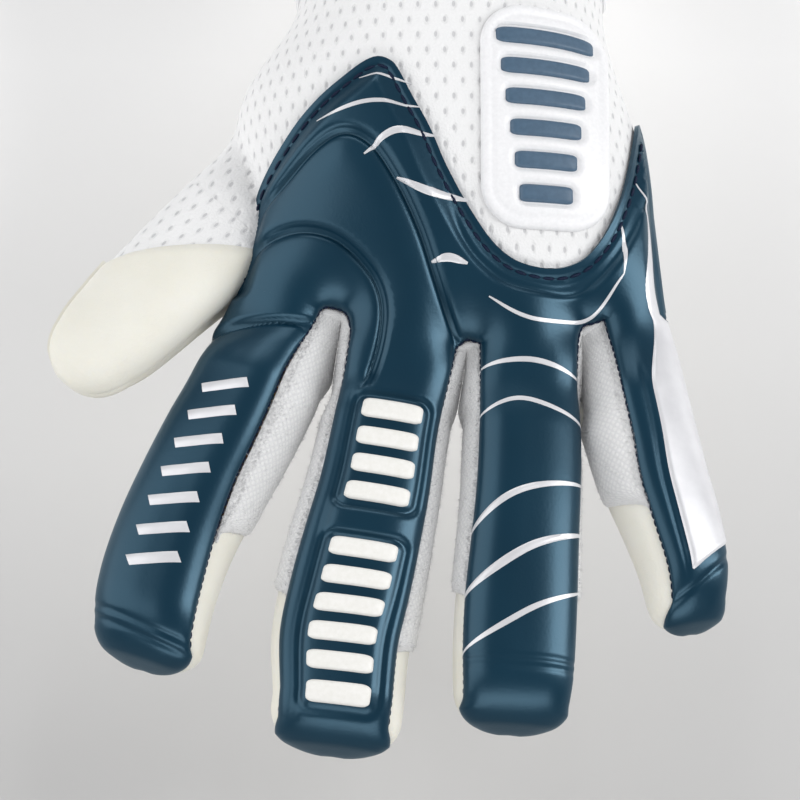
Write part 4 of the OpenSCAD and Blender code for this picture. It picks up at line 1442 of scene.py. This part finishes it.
fold = slab("strap_fold", (18.3, 56, 40.2), (23.2, 92, 45.3), 1.4, (81, 17))
strap = join([strap, fold], "wrist_strap_band")
give(strap, webbing_skin, "hand", "navy_webbing", "wrist_strap")
seam_skin = thread_finish("strap_thread", (0.085, 0.125, 0.175), (0.060, 0.095, 0.140), (0.110, 0.155, 0.210))
STRAP_STITCH = (2.3, 0.55, 0.45)
SEAM_TOP = 45.25
round_strap = np.arange(0.5, CUFF_ROUND, 2.9)
x, z = cuff_ring(cuff_turn(round_strap), 2.42)
outward = np.stack(cuff_ring(cuff_turn(round_strap), 3.42), axis=-1) - np.stack([x, z], axis=-1)
seen = z > 1.0
edge_rows = [np.column_stack([x, np.full_like(x, y), z])[seen] for y in (58.9, 89.1)]
ups = np.column_stack([outward[:, 0], 0 * x, outward[:, 1]])[seen]
sew("strap_edge_thread", edge_rows, [ups, ups], STRAP_STITCH, seam_skin, "hand")
fold_rows = [np.column_stack([np.full(12, x), np.linspace(58.5, 89.5, 12), np.full(12, SEAM_TOP)])
             for x in (19.9, 21.6)]
sew("strap_fold_thread", fold_rows, [np.tile([0.0, 0, 1], (12, 1))] * 2, STRAP_STITCH, seam_skin, "hand")
pile_skin = grain_finish("loop_pile", (0.016, 0.040, 0.066), 0.95, (0.008, 0.022, 0.040), (0.030, 0.065, 0.100),
                         (1500, 4), (1500, 4), 0.9, 0.0006, {"Sheen Weight": 0.5})
loop_patch = slab("strap_loop_pile", (-9, 59, 40.7), (15, 89, 41.9), 0.8)
give(loop_patch, pile_skin, "hand", "loop_pile", "loop_patch")


# Flap: the strap's free end, with a hook patch under it and a moulded rubber pull at its end. It is a body of
# its own.
flap = slab("strap_flap_web", (-12.4, 56, 43.1), (18.2, 92, 45.3), 0.9, (61, 61))
give(flap, webbing_skin, "strap_flap", "navy_webbing", "strap_flap")
rim = even(np.array([(-10.2, 58.2), (16.2, 58.2), (16.2, 89.8), (-10.2, 89.8), (-10.2, 58.2)]), 2.9)[:-1]
rim = np.column_stack([rim, np.full(len(rim), SEAM_TOP)])
sew("flap_rim_thread", [rim], [np.tile([0.0, 0, 1], (len(rim), 1))], STRAP_STITCH, seam_skin, "strap_flap")
hook_skin, nodes, links, shader = finish_nodes("hook_tape", (0.012, 0.028, 0.046), 0.6)
hooks = mapped(nodes, links, "ShaderNodeTexVoronoi", Scale=900)
tint(nodes, links, shader, hooks.outputs["Distance"], (0.030, 0.055, 0.085), (0.006, 0.014, 0.026))
raise_grain(nodes, links, shader, hooks.outputs["Distance"], 0.8, 0.0005)
hook_patch = slab("strap_hook_tape", (-8, 60, 42.15), (14, 88, 43.2), 0.4)
give(hook_patch, hook_skin, "strap_flap", "loop_pile", "hook_patch")
pull_skin = grain_finish("pull_rubber", (0.55, 0.56, 0.58), 0.5, (0.50, 0.51, 0.53), (0.60, 0.61, 0.63),
                         (800, 3), (800, 3), 0.2)
PULL_MIDDLE = 43.75
RIDGE_DEEP, RIDGE_PITCH = 0.3, 2.0
pull = slab("flap_rubber_pull", (-20, 60, 42.2), (-11.6, 88, 45.3), 1.3, (61, 41))
spots = points_of(pull)
ridge = RIDGE_DEEP * (np.cos(2 * math.pi * spots[:, 0] / RIDGE_PITCH) - 1)
ridge *= ramp(14 - np.abs(spots[:, 1] - STRAP_AT), 1.5, 3.0)
spots[:, 2] += ridge * np.sign(spots[:, 2] - PULL_MIDDLE)
pull.data.vertices.foreach_set("co", (spots * 0.001).ravel())
pull.data.update()
give(pull, pull_skin, "strap_flap", "pull_rubber", "flap_pull", smooth=50)


# Studio: a pale floor, a low block that carries the palm, four soft lights and the camera. The floor
# is clear from below and lies under the reach of the bent fingers.
FLOOR_AT = -0.06
bpy.ops.object.select_all(action="DESELECT")
bpy.ops.mesh.primitive_plane_add(size=6, location=(0, 0, FLOOR_AT))
floor = bpy.context.object
floor.name = "floor"
floor_skin, nodes, links, shader = finish_nodes("floor_painted_falloff", (0.80, 0.79, 0.78), 0.9)
# The floor's colour runs from dark at the front to pale at the back: painted shade for light falling off
# towards the front. The block shares it.
depth = mapped(nodes, links, "ShaderNodeSeparateXYZ")
reach = add(nodes, "ShaderNodeMapRange", **{"From Min": -0.22, "From Max": 0.06})
links.new(depth.outputs["Y"], reach.inputs["Value"])
tint(nodes, links, shader, reach.outputs["Result"], (0.34, 0.337, 0.334), (0.88, 0.876, 0.87), 0.0, 1.0)
clear = add(nodes, "ShaderNodeBsdfTransparent")
sides = add(nodes, "ShaderNodeMixShader")
links.new(add(nodes, "ShaderNodeNewGeometry").outputs["Backfacing"], sides.inputs[0])
links.new(shader.outputs[0], sides.inputs[1])
links.new(clear.outputs[0], sides.inputs[2])
links.new(sides.outputs[0], nodes["Material Output"].inputs["Surface"])
floor.data.materials.append(floor_skin)
bpy.ops.mesh.primitive_cube_add(size=1, location=(0.003, 0.042, -0.0302))
block = bpy.context.object
block.name = "plinth"
block.scale = (0.062, 0.118, 0.0596)
bpy.ops.object.transform_apply(location=False, rotation=False, scale=True)
rounding = block.modifiers.new("round", "BEVEL")
rounding.width = 0.004
rounding.segments = 4
bpy.ops.object.modifier_apply(modifier="round")
block.data.materials.append(floor_skin)
bpy.ops.object.mode_set(mode="EDIT")
bpy.ops.mesh.select_all(action="SELECT")
bpy.ops.mesh.bisect(plane_co=(0, 0, -0.0595), plane_no=(0, 0, -1), clear_outer=True)
bpy.ops.object.mode_set(mode="OBJECT")

world = bpy.context.scene.world or bpy.data.worlds.new("studio")
bpy.context.scene.world = world
world.use_nodes = True
sky = world.node_tree.nodes["Background"]
sky.inputs["Color"].default_value = (0.95, 0.96, 1.0, 1)
sky.inputs["Strength"].default_value = 0.24
LIGHT_AIM = Vector((0, -0.04, 0.02))
for name, place, size, power in (("right", (1.1, 0.0, 0.68), (0.5, 1.1), 13.5),
                                 ("left", (-1.1, 0.0, 0.68), (1.5, 1.6), 15.5),
                                 ("back", (0.0, 1.1, 0.8), (1.2, 0.4), 4.5),
                                 ("front", (0.0, -1.15, 0.50), (1.5, 0.45), 7.5)):
    bpy.ops.object.light_add(type="AREA", location=place)
    lamp = bpy.context.object
    lamp.name = name
    lamp.data.shape = "RECTANGLE"
    lamp.data.size, lamp.data.size_y = size
    lamp.data.energy = power
    lamp.rotation_euler = (LIGHT_AIM - Vector(place)).to_track_quat("-Z", "Y").to_euler()

CAMERA_AWAY = 0.9
CAMERA_TILT = math.radians(20)
bpy.ops.object.camera_add(location=(-0.008, -0.060 - CAMERA_AWAY * math.sin(CAMERA_TILT),
                                    0.022 + CAMERA_AWAY * math.cos(CAMERA_TILT)),
                          rotation=(CAMERA_TILT, 0, 0))
camera = bpy.context.object
camera.data.sensor_width = 36
camera.data.lens = 183
bpy.context.scene.camera = camera
bpy.context.scene.view_settings.view_transform = "Standard"
